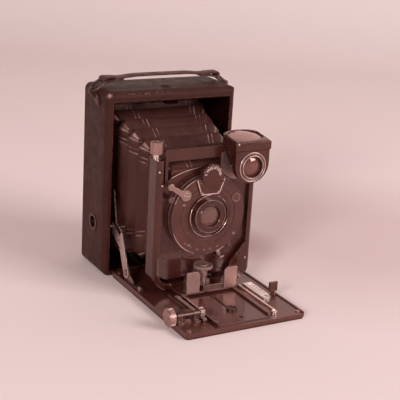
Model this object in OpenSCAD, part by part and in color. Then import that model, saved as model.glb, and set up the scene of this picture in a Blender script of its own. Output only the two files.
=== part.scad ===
// Folding plate camera, opened, with its standard drawn out on the baseboard.
// The origin is the centre of the tripod bush under the baseboard, on the table.
// X runs to the right as seen from the lens, Y to the back, Z up.

/* [Case] */
// Width of the leather covered case
case_w = 112; // [106:1:124]
// Height of the case
case_h = 147; // [143:1:160]
// Depth of the case from its front to its back
case_d = 43; // [41:1:50]
// Width of the front opening
opening_w = 100; // [98:1:101]
// Height of the case above the front opening
opening_step = 8.5; // [7:0.5:11]
// Rounding of the long front edges
case_round = 5; // [3:0.5:5.5]
// Rounding of the outer corners seen from the front
case_corner = 5; // [3:0.5:8]
// Thickness of the black metal lining
liner_wall = 0.8; // [0.6:0.1:1.2]
// Height of the inside floor over the table
floor_z = 4.2; // [4:0.1:4.6]
// Thickness of the frame behind the bellows
back_frame_d = 6; // [5:0.5:8]
// Width of the picture window in the back frame
window_w = 82; // [76:1:83]
// Height of the back frame over and under the picture window
window_step = 13.15; // [12:0.05:17]
// Distance of the middle of the picture window under the middle of the opening
window_drop = 1.35; // [0:0.05:2]

/* [Baseboard] */
// Length of the baseboard in front of the case
bed_l = 127.5; // [124:0.5:132]
// Width of the baseboard
bed_w = 99; // [97:0.5:99.4]
// Thickness of the leather under the baseboard
bed_leather_t = 1.4; // [1:0.1:1.8]
// Height of the rim of the baseboard over the table
bed_top = 5; // [4.8:0.1:5.3]
// Width of the raised rim
bed_rim = 1.4; // [1:0.1:2]
// Distance from the hinge to the edge of the baseboard
hinge_gap = 2; // [1.9:0.1:3]
// Radius of the hinge knuckles
hinge_r = 1.6; // [1.4:0.1:1.7]
// Radius of the hinge pin
hinge_pin_r = 0.8; // [0.6:0.1:1]
// Length of the hinge
hinge_l = 88; // [70:2:90]
// Distance of the tripod bush in front of the case
bush_setback = 34; // [24:1:40]
// Radius of the tripod thread
tripod_r = 4.76; // [3.2:0.01:4.8]
// Outer radius of the tripod bushes
bush_r = 6; // [5.6:0.1:7]
// Height of the side tripod bush
side_bush_z = 39; // [30:1:60]
// Depth of the side tripod bush
side_bush_l = 5; // [4:0.5:5]

/* [Track] */
// Half width of the sliding track plate
track_half = 22; // [21:0.5:23]
// Thickness of the track plate
track_t = 0.9; // [0.7:0.1:1]
// Height of the rail that the standard rides on
rail_top = 6.8; // [6.7:0.05:6.9]
// Distance of the front edge of the track behind the edge of the baseboard
track_setback = 3.5; // [2.5:0.5:6]
// Tooth size of rack and pinion
tooth = 0.6; // [0.5:0.05:0.7]
// Teeth of the focusing pinion
pinion_teeth = 10; // [8:1:12]
// Distance of the focusing shaft behind the edge of the baseboard
shaft_setback = 20.5; // [19:0.5:23]
// Radius of the focusing shaft
shaft_r = 1.3; // [1:0.1:1.6]
// Radius of the focusing knob
knob_r = 6.6; // [5.5:0.1:6.8]
// Thickness of the focusing knob
knob_t = 4.5; // [3.5:0.5:6]

/* [Standard] */
// Distance of the front of the standard before the case
frame_front = 59; // [57:0.5:60]
// Depth of the U shaped frame
frame_d = 13; // [12:0.5:14]
// Half width of the frame
frame_half = 42; // [41:0.5:43]
// Thickness of the legs of the frame
leg_t = 5; // [5:0.5:6]
// Height of the underside of the frame
frame_z = 7.4; // [7.3:0.1:8]
// Height of the left leg
left_leg_top = 109; // [106:1:110]
// Rounding of the front outer edge of the frame
frame_edge = 3.2; // [1:0.2:4]
// Height of the right leg, under the finder
right_leg_top = 89; // [84:1:90]
// Outer rounding of the lower corners of the frame
frame_corner = 14; // [10:1:16]
// Inner rounding of the lower corners of the frame
frame_inner_corner = 9; // [6:1:10]
// Height of the arched top of the lens panel
panel_arch_top = 100.9; // [98:0.5:104]
// Height of the top rail of the lens panel
panel_rail_top = 116; // [112:0.5:116]
// Running clearance of sliding pieces
slide_gap = 0.1; // [0.05:0.01:0.15]
// Radius of the rise knob
rise_knob_r = 4.5; // [4:0.25:5.25]
// Height of the rise knob
rise_knob_h = 8.5; // [7:0.5:11]
// Radius of the cross shift wheel
shift_wheel_r = 7.2; // [6.4:0.2:7.4]

/* [Shutter and lens] */
// Height of the lens axis
lens_z = 65; // [64:0.5:68]
// Radius of the shutter housing
shutter_r = 30; // [28:0.5:30]
// Depth of the shutter housing
shutter_d = 4.5; // [4.5:0.5:6]
// Radius of the shutter face plate
face_r = 31; // [29:0.5:31.5]
// Thickness of the face plate
face_t = 1.4; // [1:0.1:1.8]
// Radius of the speed dial
dial_r = 8.8; // [7.8:0.2:8.8]
// Distance of the speed dial above the lens axis
dial_up = 31.2; // [31:0.1:31.6]
// Radius of the lens bezel
bezel_r = 16.3; // [15:0.1:16.5]
// Length of the lens barrel before the face plate
barrel_l = 3.8; // [3.4:0.2:4.6]
// Radius of the clear front glass
glass_r = 8.6; // [7:0.2:9.4]
// Radius of the rear lens cell
rear_cell_r = 13; // [11:0.5:13.5]

/* [Finder] */
// Width of the finder body
finder_w = 29; // [27:0.5:30]
// Distance of the middle of the finder from the lens axis
finder_x = 30; // [29:0.5:31]
// Height of the underside of the finder
finder_z = 89.5; // [89:0.5:91]
// Height of the underside of the finder cap
finder_cap_z = 115; // [114.5:0.5:116]
// Distance of the front of the finder before the case
finder_front = 71.5; // [70.5:0.5:72]
// Radius of the front lens of the finder
finder_lens_r = 8; // [6:0.2:8.2]

/* [Handle] */
// Width of the leather strap
strap_w = 9; // [7:0.5:11]
// Thickness of the strap
strap_t = 2; // [1.5:0.1:2.5]
// Radius of the handle rings
ring_r = 6.4; // [6:0.2:9]
// Lean of the handle rings from level
ring_tilt = 39; // [36:1:65]
// Radius of the ring wire
ring_wire = 1; // [0.8:0.1:1.2]

/* [Bellows] */
// Number of pleats in front of the case
front_pleats = 6; // [5:1:9]
// Number of tightly stacked pleats at the back
rear_pleats = 3; // [2:1:4]
// Depth of a pleat
pleat_depth = 6; // [4:0.5:7]
// Half width of the bellows at the back
bellows_rear_half = 39.5; // [38:0.5:40]
// Height of the rear of the bellows beyond the picture window
rear_margin = 1.5; // [0.5:0.5:2]
// Half width of the bellows at the front
bellows_front_half = 27; // [26:0.5:29]
// Half height of the bellows at the front
bellows_front_rise = 34; // [32:0.5:36]
// Wall of the bellows leather
bellows_wall = 0.7; // [0.5:0.1:1]

/* [Focusing back] */
// Step from the edge of the back frame to the focusing screen on each side
screen_step = 3; // [2.5:0.5:4]
// Height of the focusing screen less than that of the opening
screen_drop = 2.3; // [1:0.1:6]
// Thickness of the focusing screen frame
screen_t = 4; // [3.5:0.25:5]
// Thickness of the ground glass
glass_t = 1.5; // [1:0.1:1.8]
// Depth of the hood box behind the screen frame
hood_d = 6; // [5:0.5:8]

/* [Hidden] */
$fn = 64;

wall = (case_w - opening_w) / 2;
side_x = case_w / 2;
bed_floor = bed_top - 0.8;
opening_top = case_h - opening_step;
opening_h = opening_top - floor_z;
window_h = opening_h - 2 * window_step;
window_z = floor_z + opening_h / 2 - window_drop;
bellows_rear_rise = window_h / 2 + rear_margin;
screen_h = opening_h - screen_drop;
track_z = floor_z + 0.1;
track_front = bed_l - track_setback;
shaft_front = bed_l - shaft_setback;
index_front = bed_l - 9.5;
plate_front = bed_l - 35.5;
rail_web = track_half - 1.5;
rail_lip = track_half + 1;
rail_t = 0.7;
base_z = rail_top + slide_gap;
base_top = base_z + 1.3;
frame_back = frame_front - frame_d;
inner_half = frame_half - leg_t;
corner_plate_x = frame_half - frame_edge - 0.5;
groove = 1.6;
panel_back = frame_front - 5.5;
panel_t = 2.4;
panel_front = panel_back + panel_t;
panel_half = inner_half + groove - 2 * slide_gap;
panel_bottom = frame_z + leg_t + 2.5;
tongue_z = panel_bottom + frame_inner_corner - 2.4;
arch_z = 82;
rail_bottom = 107.3;
stile_x = -34.2;
boss_t = 1;
boss_front = panel_front + boss_t;
housing_front = boss_front + shutter_d;
face_front = housing_front + face_t;
pinion_r = tooth * pinion_teeth / 2;
shaft_z = floor_z + 5.3;
rack_x = track_half + 3.3;
rack_w = 3.2;
shift_teeth = 12;
shift_tooth = 0.8;
shift_r = shift_tooth * shift_teeth / 2;
shift_y = frame_front + shift_r + 2;
wheel_x = -3.5;
grip_front = shift_y + 5.9;
grip_h = 16.2;
base_front = grip_front + 0.3;
spindle_x = -(inner_half + 2.6);
spindle_y = -(panel_back - 2.4);
spindle_r = 1.2;
dial_z = lens_z + dial_up;
dial_t = 1.8;
dial_x = 1.1;
plate_posts = [-8.3, 9.9];
post_z = dial_z - 5;
lever_x = -20.2;
lever_z = lens_z + 17.7;
finder_half = finder_w / 2;
finder_back = panel_front + 1.5;
finder_thin = 4.7;
mirror_foot_z = finder_z + 14;
cap_back_y = -53.8;
cap_slope = 7;
finder_lens_z = finder_z + 12.5;
pivot_x = finder_x + 10;
pivot_z = finder_cap_z - 8;
eye_x = side_x + 2.9;
eye_z = case_h - 2.5;
ring_y = 24;
ring_x = eye_x - ring_r * cos(ring_tilt);
ring_z = eye_z + ring_r * sin(ring_tilt);
loop_x = eye_x - 2 * ring_r * cos(ring_tilt);
loop_z = eye_z + 2 * ring_r * sin(ring_tilt);
bellows_back = case_d - back_frame_d;
stack_l = 2 * rear_pleats;
bellows_mid = bellows_back - stack_l;
box_back = panel_back - 0.8;
hook_z = rail_top - rail_t - 0.75;
rack_low = base_top + 4.1;
back_y = case_d;
screen_w = opening_w - 2 * screen_step;
screen_y = back_y + 0.1;
screen_z = window_z - screen_h / 2;
hood_y = screen_y + screen_t;

// Points of an arc about a centre, from one angle to another
function arc(cx, cy, r, a0, a1, n = 8) =
    [for (i = [0:n]) [cx + r * cos(a0 + (a1 - a0) * i / n), cy + r * sin(a0 + (a1 - a0) * i / n)]];

// Outline of a rectangle with round corners, from its lowest to its highest corner
function rounded(x0, y0, x1, y1, r) = concat(
    arc(x1 - r, y1 - r, r, 0, 90), arc(x0 + r, y1 - r, r, 90, 180),
    arc(x0 + r, y0 + r, r, 180, 270), arc(x1 - r, y0 + r, r, 270, 360));

// Outline of a knurled wheel
function knurled(r_root, r_tip, n) = [for (i = [0:n - 1], k = [0:3])
    (k == 0 || k == 3 ? r_root : r_tip) *
    [cos(360 / n * (i + [-0.36, -0.22, 0.22, 0.36][k])),
        sin(360 / n * (i + [-0.36, -0.22, 0.22, 0.36][k]))]];

// Outline of a pinion with n teeth of size m, one of them along X
function pinion(m, n) = [for (i = [0:n - 1], k = [0:3])
    let (a = 360 / n * (i + [-0.26, -0.12, 0.12, 0.26][k]))
    (m * n / 2 + m * [-1.2, 0.75, 0.75, -1.2][k]) * [cos(a), sin(a)]];

// Outline of a straight rack of n teeth along X, its pitch line at zero and its base below
function rack_line(n, m, base) = concat(
    [[n * PI * m, -1.2 * m], [n * PI * m, base], [0, base], [0, -1.2 * m]],
    [for (i = [0:n - 1], k = [0:3]) PI * m * [i + [0.17, 0.38, 0.62, 0.83][k],
        [-1.2, 0.75, 0.75, -1.2][k] / PI]]);

// Rings of a bellows of n pleats, each ring eight corners of a rectangle with cut corners
function bellows_half(y) = bellows_rear_half
    + (bellows_front_half - bellows_rear_half) * (bellows_back - y) / (bellows_back + box_back);
function bellows_rise(y) = bellows_rear_rise
    + (bellows_front_rise - bellows_rear_rise) * (bellows_back - y) / (bellows_back + box_back);
function bellows_mid_z(y) = window_z
    + (lens_z - window_z) * (bellows_back - y) / (bellows_back + box_back);
function cut_ring(y, grow, cut) = let (w = bellows_half(y) + grow, h = bellows_rise(y) + grow,
    z = bellows_mid_z(y))
    [[w, y, z - h + cut], [w, y, z + h - cut], [w - cut, y, z + h], [-w + cut, y, z + h],
    [-w, y, z + h - cut], [-w, y, z - h + cut], [-w + cut, y, z - h], [w - cut, y, z - h]];

module from_front() translate([0, bush_setback, 0]) children();
module facing_front(y, depth) translate([0, y, 0]) rotate([90, 0, 0]) linear_extrude(depth) children();
module facing_side(x, width) translate([x, 0, 0]) rotate([90, 0, 90]) linear_extrude(width) children();
module on_lens_axis(front) translate([0, -front, lens_z]) rotate([90, 0, 0]) children();
module both_sides() {
    children();
    mirror([1, 0, 0]) children();
}
module slab(x0, y0, z0, x1, y1, z1) translate([x0, y0, z0]) cube([x1 - x0, y1 - y0, z1 - z0]);
module ring(r_out, r_in, h) difference() {
    cylinder(r = r_out, h = h);
    translate([0, 0, -1]) cylinder(r = r_in, h = h + 2);
}
// A slotted or plain screw head with a round edge, its axis along Z
module screw_head(r, h) difference() {
    cylinder(r = r, h = h);
    translate([-r, -r * 0.12, h * 0.55]) cube([2 * r, r * 0.24, h]);
}

module case_block(inset) intersection() {
    translate([0, 0, -1]) linear_extrude(case_h + 2)
        polygon(rounded(-side_x + inset, 0, side_x - inset, case_d + 10, case_round));
    facing_front(case_d, case_d + 1)
        polygon(rounded(-side_x + inset, inset, side_x - inset, case_h - inset, case_corner));
    facing_side(-side_x, case_w)
        polygon(rounded(0, -20, case_d + 10, case_h - inset, case_round));
    slab(-side_x, 0, 0, side_x, case_d, case_h);
}
module case_shell() color([0.25, 0.15, 0.14]) from_front() difference() {
    case_block(0);
    slab(-opening_w / 2 - liner_wall, -1, floor_z - liner_wall,
        opening_w / 2 + liner_wall, case_d + 1, opening_top + liner_wall);
    slab(-hinge_l / 2 - 1, -1, -1, hinge_l / 2 + 1, hinge_gap, floor_z);
    translate([-side_x - 1, case_d / 2, side_bush_z]) rotate([0, 90, 0])
        cylinder(r = bush_r, h = side_bush_l + 1);
    translate([0, case_d / 2 - 8, opening_top]) cylinder(r = 4.2, h = case_h);
}
module case_liner() color([0.10, 0.03, 0.02]) from_front() difference() {
    slab(-opening_w / 2 - liner_wall, 0.6, floor_z - liner_wall,
        opening_w / 2 + liner_wall, case_d, opening_top + liner_wall);
    slab(-opening_w / 2, 0, floor_z, opening_w / 2, case_d + 1, opening_top);
    slab(-hinge_l / 2 - 1, -1, -1, hinge_l / 2 + 1, hinge_gap, floor_z + 1);
    translate([0, case_d / 2 - 8, opening_top - 1]) cylinder(r = 2, h = 4);
}
module back_frame() color([0.12, 0.05, 0.04]) from_front() difference() {
    slab(-opening_w / 2, bellows_back, floor_z, opening_w / 2, case_d, opening_top);
    facing_front(case_d + 1, case_d) polygon(rounded(-window_w / 2, window_z - window_h / 2,
        window_w / 2, window_z + window_h / 2, 3));
}
module bed_outline(inset, r) polygon(rounded(-bed_w / 2 + inset, -bed_l + inset,
    bed_w / 2 - inset, -hinge_gap, r));
module bed_plate() color([0.16, 0.08, 0.07]) from_front() difference() {
    translate([0, 0, bed_leather_t]) linear_extrude(bed_top - bed_leather_t) bed_outline(0, 2);
    translate([0, 0, bed_floor]) linear_extrude(2)
        polygon(rounded(-bed_w / 2 + bed_rim, -bed_l - 6, bed_w / 2 - bed_rim, 4, 1.5));
    translate([0, -bush_setback, 0]) cylinder(r = bush_r, h = bed_floor - 0.6);
}
module bed_leather() color([0.22, 0.12, 0.11]) from_front() difference() {
    linear_extrude(bed_leather_t) bed_outline(0.4, 2.5);
    translate([0, -bush_setback, -1]) cylinder(r = bush_r, h = bed_leather_t + 2);
}
module bed_hinge() color([0.5, 0.42, 0.4]) from_front() {
    knuckles = 11;
    pitch = hinge_l / knuckles;
    for (i = [0:knuckles - 1])
        translate([-hinge_l / 2 + pitch * i + 0.1, 0, hinge_r + 0.1]) rotate([0, 90, 0])
            ring(hinge_r, hinge_pin_r, pitch - 0.2);
    translate([-hinge_l / 2, 0, hinge_r + 0.1]) rotate([0, 90, 0])
        cylinder(r = hinge_pin_r, h = hinge_l);
    for (i = [0:knuckles - 1]) {
        side = i % 2 == 0 ? 1 : -1;
        translate([-hinge_l / 2 + pitch * i + 0.1, side > 0 ? hinge_r - 0.4 : -hinge_gap, hinge_r - 0.5])
            cube([pitch - 0.2, hinge_gap - hinge_r + 0.4, 1]);
    }
}
module bed_screws() color([0.85, 0.75, 0.72]) from_front() {
    for (p = [[-1, bed_l - 4], [1, bed_l - 4], [-1, 8], [1, 8]])
        translate([p[0] * (bed_w / 2 - 4), -p[1], bed_floor]) screw_head(1.7, 1);
}
module rail_section() {
    polygon([[rail_web, track_z], [rail_web + 1, track_z], [rail_web + 1, rail_top - rail_t],
        [rail_lip, rail_top - rail_t], [rail_lip, rail_top], [rail_web, rail_top]]);
}
module case_rails() color([0.35, 0.28, 0.26]) from_front() both_sides() difference() {
    facing_front(bellows_back - 1, bellows_back - 1 - hinge_gap - 0.5) union() {
        rail_section();
        translate([rail_web - 4, floor_z]) square([6.5, 0.7]);
    }
    translate([rail_web - 2.2, bellows_back - 8, floor_z]) cylinder(r = 1.1, h = 2);
}
module guide_rails() color([0.16, 0.08, 0.07]) from_front() difference() {
    union() {
        slab(track_half + 0.1, -track_front + 3, bed_floor, track_half + 2.2, -hinge_gap - 2, bed_floor + 1);
        slab(-rack_x - rack_w - 2.3, -shaft_front + 19, bed_floor,
            -rack_x - rack_w - 0.1, -shaft_front + 45, bed_floor + 1.4);
    }
    for (y = [-20, -60, -100]) translate([track_half + 1.15, y, bed_floor + 0.5]) cylinder(r = 0.6, h = 2);
}
module index_rail() color([0.85, 0.75, 0.72]) from_front() {
    slab(27, -index_front, bed_floor, 29, -index_front + 51, bed_floor + 2.8);
    slab(25, -index_front + 1, bed_floor, 27, -index_front + 52, bed_floor + 0.8);
    translate([27.2, -index_front - 1.8, bed_floor]) screw_head(2.3, 2.4);
}
module scale_plate() color([0.85, 0.75, 0.72]) from_front() {
    translate([0, 0, bed_floor]) linear_extrude(1.8) difference() {
        union() {
            translate([33.4, -plate_front]) square([7.8, 27]);
            translate([37.3, -plate_front]) circle(r = 3.9);
        }
        translate([37.3, -plate_front]) circle(r = 1.3);
    }
    translate([37.3, -plate_front + 24, bed_floor + 1.8]) screw_head(1.3, 0.4);
}
module strut() {
    facing_side(-side_x + wall + 2, 1.1) difference() {
        polygon(concat(arc(-24.5, 11.5, 4.6, 170, 350, 12), [[-12, 28]],
            arc(4, 40, 3.8, 300, 480, 12), [[-11.5, 36.5], [-14, 41], [-16.2, 40]]));
        translate([-24.5, 11.5]) circle(r = 1.6, $fn = 32);
        translate([4, 40]) circle(r = 1.3, $fn = 32);
    }
    facing_side(-side_x + wall + 3, 0.7)
        polygon([[-16.2, 33], [-14.2, 41.2], [-3, 45], [2.8, 70], [4.4, 70], [-1.6, 44], [-12.6, 40],
            [-14.6, 33]]);
}
module strut_left() color([0.8, 0.7, 0.67]) from_front() strut();
module strut_right() color([0.8, 0.7, 0.67]) from_front() mirror([1, 0, 0]) strut();
module strut_brackets() color([0.8, 0.7, 0.67]) from_front() both_sides() {
    inner = -side_x + wall + 3.15;
    facing_side(inner, 1) difference() {
        polygon(concat([[-36, bed_floor], [-20.5, bed_floor]], arc(-24.5, 11.5, 3.4, 0, 180, 12),
            [[-36, 8]]));
        translate([-24.5, 11.5]) circle(r = 1.5, $fn = 32);
    }
    translate([0, 0, bed_floor]) linear_extrude(1)
        polygon(concat([[inner, -20.5], [inner, -36]], arc(inner + 3.2, -41.5, 3, 200, 340, 8),
            [[inner + 2.6, -36], [inner + 2.6, -20.5]]));
    translate([-side_x + wall + 1.4, -24.5, 11.5]) rotate([0, 90, 0]) cylinder(r = 1.45, h = 3.4);
    translate([-side_x + wall + 1, -24.5, 11.5]) rotate([0, 90, 0]) cylinder(r = 2.4, h = 0.6);
    translate([-side_x + wall, 4, 40]) rotate([0, 90, 0]) cylinder(r = 1.2, h = 3.35);
    translate([inner + 3.2, -41.5, bed_floor + 1]) screw_head(1.9, 0.9);
}
module pinion_bearing() color([0.8, 0.7, 0.67]) from_front() {
    bore = shaft_r + 0.05;
    for (x = [-bed_w / 2 + 2.6, -rack_x - rack_w - 5]) difference() {
        union() {
            translate([x, -shaft_front, shaft_z]) rotate([0, 90, 0]) cylinder(r = 2.5, h = 4);
            slab(x, -shaft_front - 2.2, bed_floor, x + 4, -shaft_front + 2.2, shaft_z);
            slab(x, -shaft_front - 4.6, bed_floor, x + 4, -shaft_front + 4.6, bed_floor + 1);
        }
        translate([x - 1, -shaft_front, shaft_z]) rotate([0, 90, 0]) cylinder(r = bore, h = 6);
    }
    translate([-bed_w / 2 + 6.6, -shaft_front, shaft_z]) rotate([0, 90, 0])
        ring(1.9, bore, bed_w / 2 - 6.6 - rack_x - rack_w - 5);
    translate([-rack_x - rack_w - 4.5, -shaft_front + 11.5, bed_floor]) {
        cylinder(r = 4.2, h = 1.4);
        cylinder(r = 3.2, h = 2.6);
    }
}
module tripod_bushes() color([0.7, 0.6, 0.56]) from_front() {
    translate([0, -bush_setback, 0]) difference() {
        cylinder(r = bush_r, h = bed_floor - 0.6);
        translate([0, 0, -1]) cylinder(r = tripod_r, h = bed_floor);
    }
    translate([-side_x, case_d / 2, side_bush_z]) rotate([0, 90, 0]) {
        difference() {
            cylinder(r = bush_r, h = side_bush_l);
            translate([0, 0, -1]) cylinder(r = tripod_r, h = side_bush_l + 0.4);
        }
        translate([0, 0, -0.5]) ring(bush_r + 0.8, tripod_r, 0.5);
    }
}
module handle_lugs() color([0.6, 0.5, 0.47]) from_front() both_sides() {
    facing_side(-side_x - 1, 1) difference() {
        polygon(concat(arc(ring_y - 8, eye_z - 7, 3.2, 130, 300, 8),
            arc(ring_y, eye_z - 2.6, 4.4, -30, 100, 8)));
        translate([ring_y - 8, eye_z - 7]) circle(r = 1.2, $fn = 24);
    }
    translate([-side_x - 1.7, ring_y - 8, eye_z - 7]) rotate([0, 90, 0]) cylinder(r = 1.2, h = 1.7);
    translate([-side_x - 1.7, ring_y - 8, eye_z - 7]) rotate([0, 90, 0]) cylinder(r = 2, h = 0.7);
    translate([-eye_x, ring_y - 1.2, eye_z]) rotate([-90, 0, 0]) difference() {
        union() {
            cylinder(r = 2.7, h = 2.4);
            linear_extrude(2.4) polygon([[-1.6, 2], [2, 6.2], [2, 0], [1.6, -1.6]]);
        }
        translate([0, 0, -1]) cylinder(r = 1.6, h = 5);
    }
}
module catch_plate() color([0.8, 0.7, 0.67]) from_front() difference() {
    slab(-5, 1.6, opening_top - 3.2, 5, 9, opening_top);
    slab(-3.4, 1, opening_top - 2.2, 3.4, 7, opening_top - 1);
}
module back_rails() color([0.3, 0.22, 0.2]) from_front() {
    both_sides() facing_side(-screen_w / 2 - 2.6, 2.4)
        polygon([[back_y, screen_z - 1], [screen_y + screen_t + 1.4, screen_z - 1],
        [screen_y + screen_t + 1.4, screen_z + screen_h - 4], [back_y, screen_z + screen_h]]);
    both_sides() slab(-screen_w / 2 - 0.3, screen_y + screen_t + 0.2, screen_z - 1,
        -screen_w / 2 + 2.2, screen_y + screen_t + 1.4, screen_z + screen_h - 5);
    slab(-screen_w / 2 - 2.6, back_y, screen_z - 3, screen_w / 2 + 2.6, screen_y + screen_t + 1.4,
        screen_z - 0.05);
}
module release_button() color([0.25, 0.15, 0.14]) from_front() translate([0, case_d / 2 - 8, 0]) {
    translate([0, 0, opening_top + 2]) cylinder(r = 4.1, h = case_h - opening_top - 1.6);
    translate([0, 0, opening_top - 0.6]) cylinder(r = 1.9, h = 3);
    translate([0, 0, case_h - 11.1]) intersection() {
        sphere(r = 12.1);
        translate([0, 0, 8]) cylinder(r = 4.1, h = 6);
    }
}
function strap_line(x) = loop_z - 1 + 1.6 * (1 - pow(x / loop_x, 2));
module handle_strap() color([0.27, 0.17, 0.15]) from_front() {
    n = 18;
    loop_r = ring_wire + strap_t + 0.3;
    top = [for (i = [0:n]) let (x = loop_x - 2 * loop_x * i / n) [x, strap_line(x) + strap_t / 2]];
    low = [for (i = [0:n]) let (x = -loop_x + 2 * loop_x * i / n) [x, strap_line(x) - strap_t / 2]];
    difference() {
        facing_front(ring_y + strap_w / 2, strap_w) union() {
            polygon(concat(top, low));
            for (s = [0, 1]) mirror([s, 0]) {
                translate([loop_x, loop_z]) circle(r = loop_r);
                polygon([[loop_x, loop_z - loop_r + 0.2], [loop_x, loop_z + loop_r - 0.4],
                    [loop_x - 5, loop_z + 1.9],
                    [loop_x - 12, strap_line(loop_x - 12) + strap_t / 2 - 0.2],
                    [loop_x - 12, strap_line(loop_x - 12) - strap_t / 2 + 0.2],
                        [loop_x - 4, loop_z - loop_r + 0.3]]);
            }
        }
        both_sides() translate([-ring_x, ring_y, ring_z]) rotate([0, -ring_tilt, 0])
            translate([0, 0, -ring_wire - 0.05]) ring(ring_r + ring_wire + 0.05,
                ring_r - ring_wire - 0.05, 2 * ring_wire + 0.1);
    }
}
module handle_rings() color([0.8, 0.7, 0.67]) from_front() both_sides()
    translate([-ring_x, ring_y, ring_z]) rotate([0, -ring_tilt, 0]) rotate_extrude($fn = 64)
        translate([ring_r, 0]) circle(r = ring_wire, $fn = 24);
module track_plate() color([0.14, 0.07, 0.06]) from_front() difference() {
    union() {
        translate([0, 0, track_z]) linear_extrude(track_t)
            polygon(rounded(-track_half, -track_front, track_half, -hinge_gap - 1, 1.5));
        both_sides() facing_front(-hinge_gap - 1, track_front - hinge_gap - 3) rail_section();
    }
    translate([-1.2, -98, track_z - 1]) cube([2.4, 16, 3]);
    translate([0.5, -track_front + 7, track_z - 1]) cylinder(r = 1.6, h = 3);
}
module track_rack() color([0.75, 0.66, 0.62]) from_front() {
    teeth = 24;
    start = -shaft_front - PI * tooth * 3.5;
    facing_side(-rack_x - rack_w, rack_w) translate([start, shaft_z - pinion_r])
        polygon(rack_line(teeth, tooth, track_z - shaft_z + pinion_r));
    slab(-rack_x, start, track_z, -track_half, start + teeth * PI * tooth, track_z + 0.5);
}
module stop_spring() color([0.7, 0.6, 0.56]) from_front() {
    z = track_z + track_t;
    slab(-0.8, -100, z, 0.8, -76.5, z + 0.5);
    translate([0, -78, z]) cylinder(r = 1.9, h = 0.9);
    translate([0.8, -103.4, z]) difference() {
        cylinder(r = 4, h = 1.7);
        translate([0, 0, 1.1]) cylinder(r = 3.2, h = 2);
    }
}
module focus_knob() color([0.85, 0.75, 0.72]) from_front()
    translate([-bed_w / 2 - 0.6, -shaft_front, shaft_z]) rotate([0, -90, 0]) difference() {
        union() {
            linear_extrude(knob_t - 0.5) polygon(knurled(knob_r - 0.35, knob_r, 30));
            translate([0, 0, knob_t - 0.5]) cylinder(r = knob_r - 0.6, h = 0.5);
        }
        translate([0, 0, -1]) cylinder(r = shaft_r, h = knob_t - 0.6);
        for (s = [-1, 1]) translate([0, s * 2.4, knob_t - 1.2]) cylinder(r = 0.6, h = 2);
    }
module focus_shaft() color([0.85, 0.75, 0.72]) from_front() {
    translate([-bed_w / 2 - knob_t + 1, -shaft_front, shaft_z]) rotate([0, 90, 0])
        cylinder(r = shaft_r, h = bed_w / 2 + knob_t - 1 - rack_x + 0.4);
    translate([-rack_x - rack_w, -shaft_front, shaft_z]) rotate([0, 90, 0])
        linear_extrude(rack_w) rotate(180 / pinion_teeth) polygon(pinion(tooth, pinion_teeth));
}
module standard_base() color([0.75, 0.66, 0.62]) from_front() difference() {
    union() {
        slab(-rail_lip - 1.3, -base_front, base_z, rail_lip + 1.3, -frame_back + 1.6, base_top);
        both_sides() for (y = [-base_front, -frame_back - 2.4]) {
            slab(rail_lip + 0.1, y, hook_z, rail_lip + 1.3, y + 4, base_z + 0.1);
            slab(rail_web + 1.2, y, hook_z, rail_lip + 1.3, y + 4, rail_top - rail_t - 0.1);
        }
        slab(-15, -frame_back + 0.1, base_top - 0.1, 15, -frame_back + 1.6, frame_z + leg_t + 0.9);
        slab(-15, -frame_back - 2.5, frame_z + leg_t + 0.1, 15, -frame_back + 1.6, frame_z + leg_t + 0.9);
        slab(-16, -frame_front - 1.6, base_top - 0.1, 16, -frame_front - 0.1, rack_low - 0.2);
        translate([wheel_x, -shift_y, base_top - 0.1]) cylinder(r = 2.6, h = 4.1);
    }
    translate([wheel_x, -shift_y, base_z - 1]) cylinder(r = 1.55, h = 10);
}
module cross_bar() color([0.13, 0.06, 0.05]) from_front() {
    slab(-5.3, -grip_front, base_top, 11.2, -grip_front + 1.4, base_top + 3.9);
    slab(-5.3, -grip_front, base_top, 11.2, -grip_front + 3, base_top + 0.8);
}
module shift_wheel() color([0.8, 0.7, 0.67]) from_front() translate([wheel_x, -shift_y, 0]) {
    translate([0, 0, rack_low]) linear_extrude(3) rotate(180 / shift_teeth + 90)
        polygon(pinion(shift_tooth, shift_teeth));
    translate([0, 0, rack_low + 2.9]) cylinder(r = 2.6, h = 9.9);
    translate([0, 0, rack_low + 6.5]) cylinder(r = 3.6, h = 3.4);
    translate([0, 0, rack_low + 12.7]) linear_extrude(2.2)
        polygon(knurled(shift_wheel_r - 0.35, shift_wheel_r, 36));
    translate([0, 0, rack_low + 14.8]) cylinder(r = 3.4, h = 0.6);
    translate([0, 0, base_z + 0.2]) cylinder(r = 1.5, h = rack_low - base_z);
}
module grip_shape(x0, w) difference() {
    union() {
        slab(x0, -grip_front, base_top + 0.05, x0 + w, -grip_front + 1.3, base_top + grip_h);
        slab(x0, -grip_front, base_top + 0.05, x0 + w, -grip_front + 5.5, base_top + 1.2);
        for (i = [0:6]) slab(x0 + w - 0.05, -grip_front, base_top + 6.5 + i * 1.4, x0 + w + 0.5,
            -grip_front + 1.3, base_top + 7.2 + i * 1.4);
    }
    translate([x0, -grip_front, base_top + grip_h]) rotate([0, 45, 0]) cube([3, 4, 3], center = true);
}
module grip_left() color([0.85, 0.75, 0.72]) from_front() mirror([1, 0, 0]) grip_shape(8.9, 10.8);
module grip_right() color([0.85, 0.75, 0.72]) from_front() {
    grip_shape(12.4, 10.6);
    facing_side(17.2, 1.2) polygon([[-grip_front + 1.2, base_top + 1.1],
        [-grip_front + 5.4, base_top + 1.1], [-grip_front + 1.2, base_top + 14]]);
}
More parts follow.
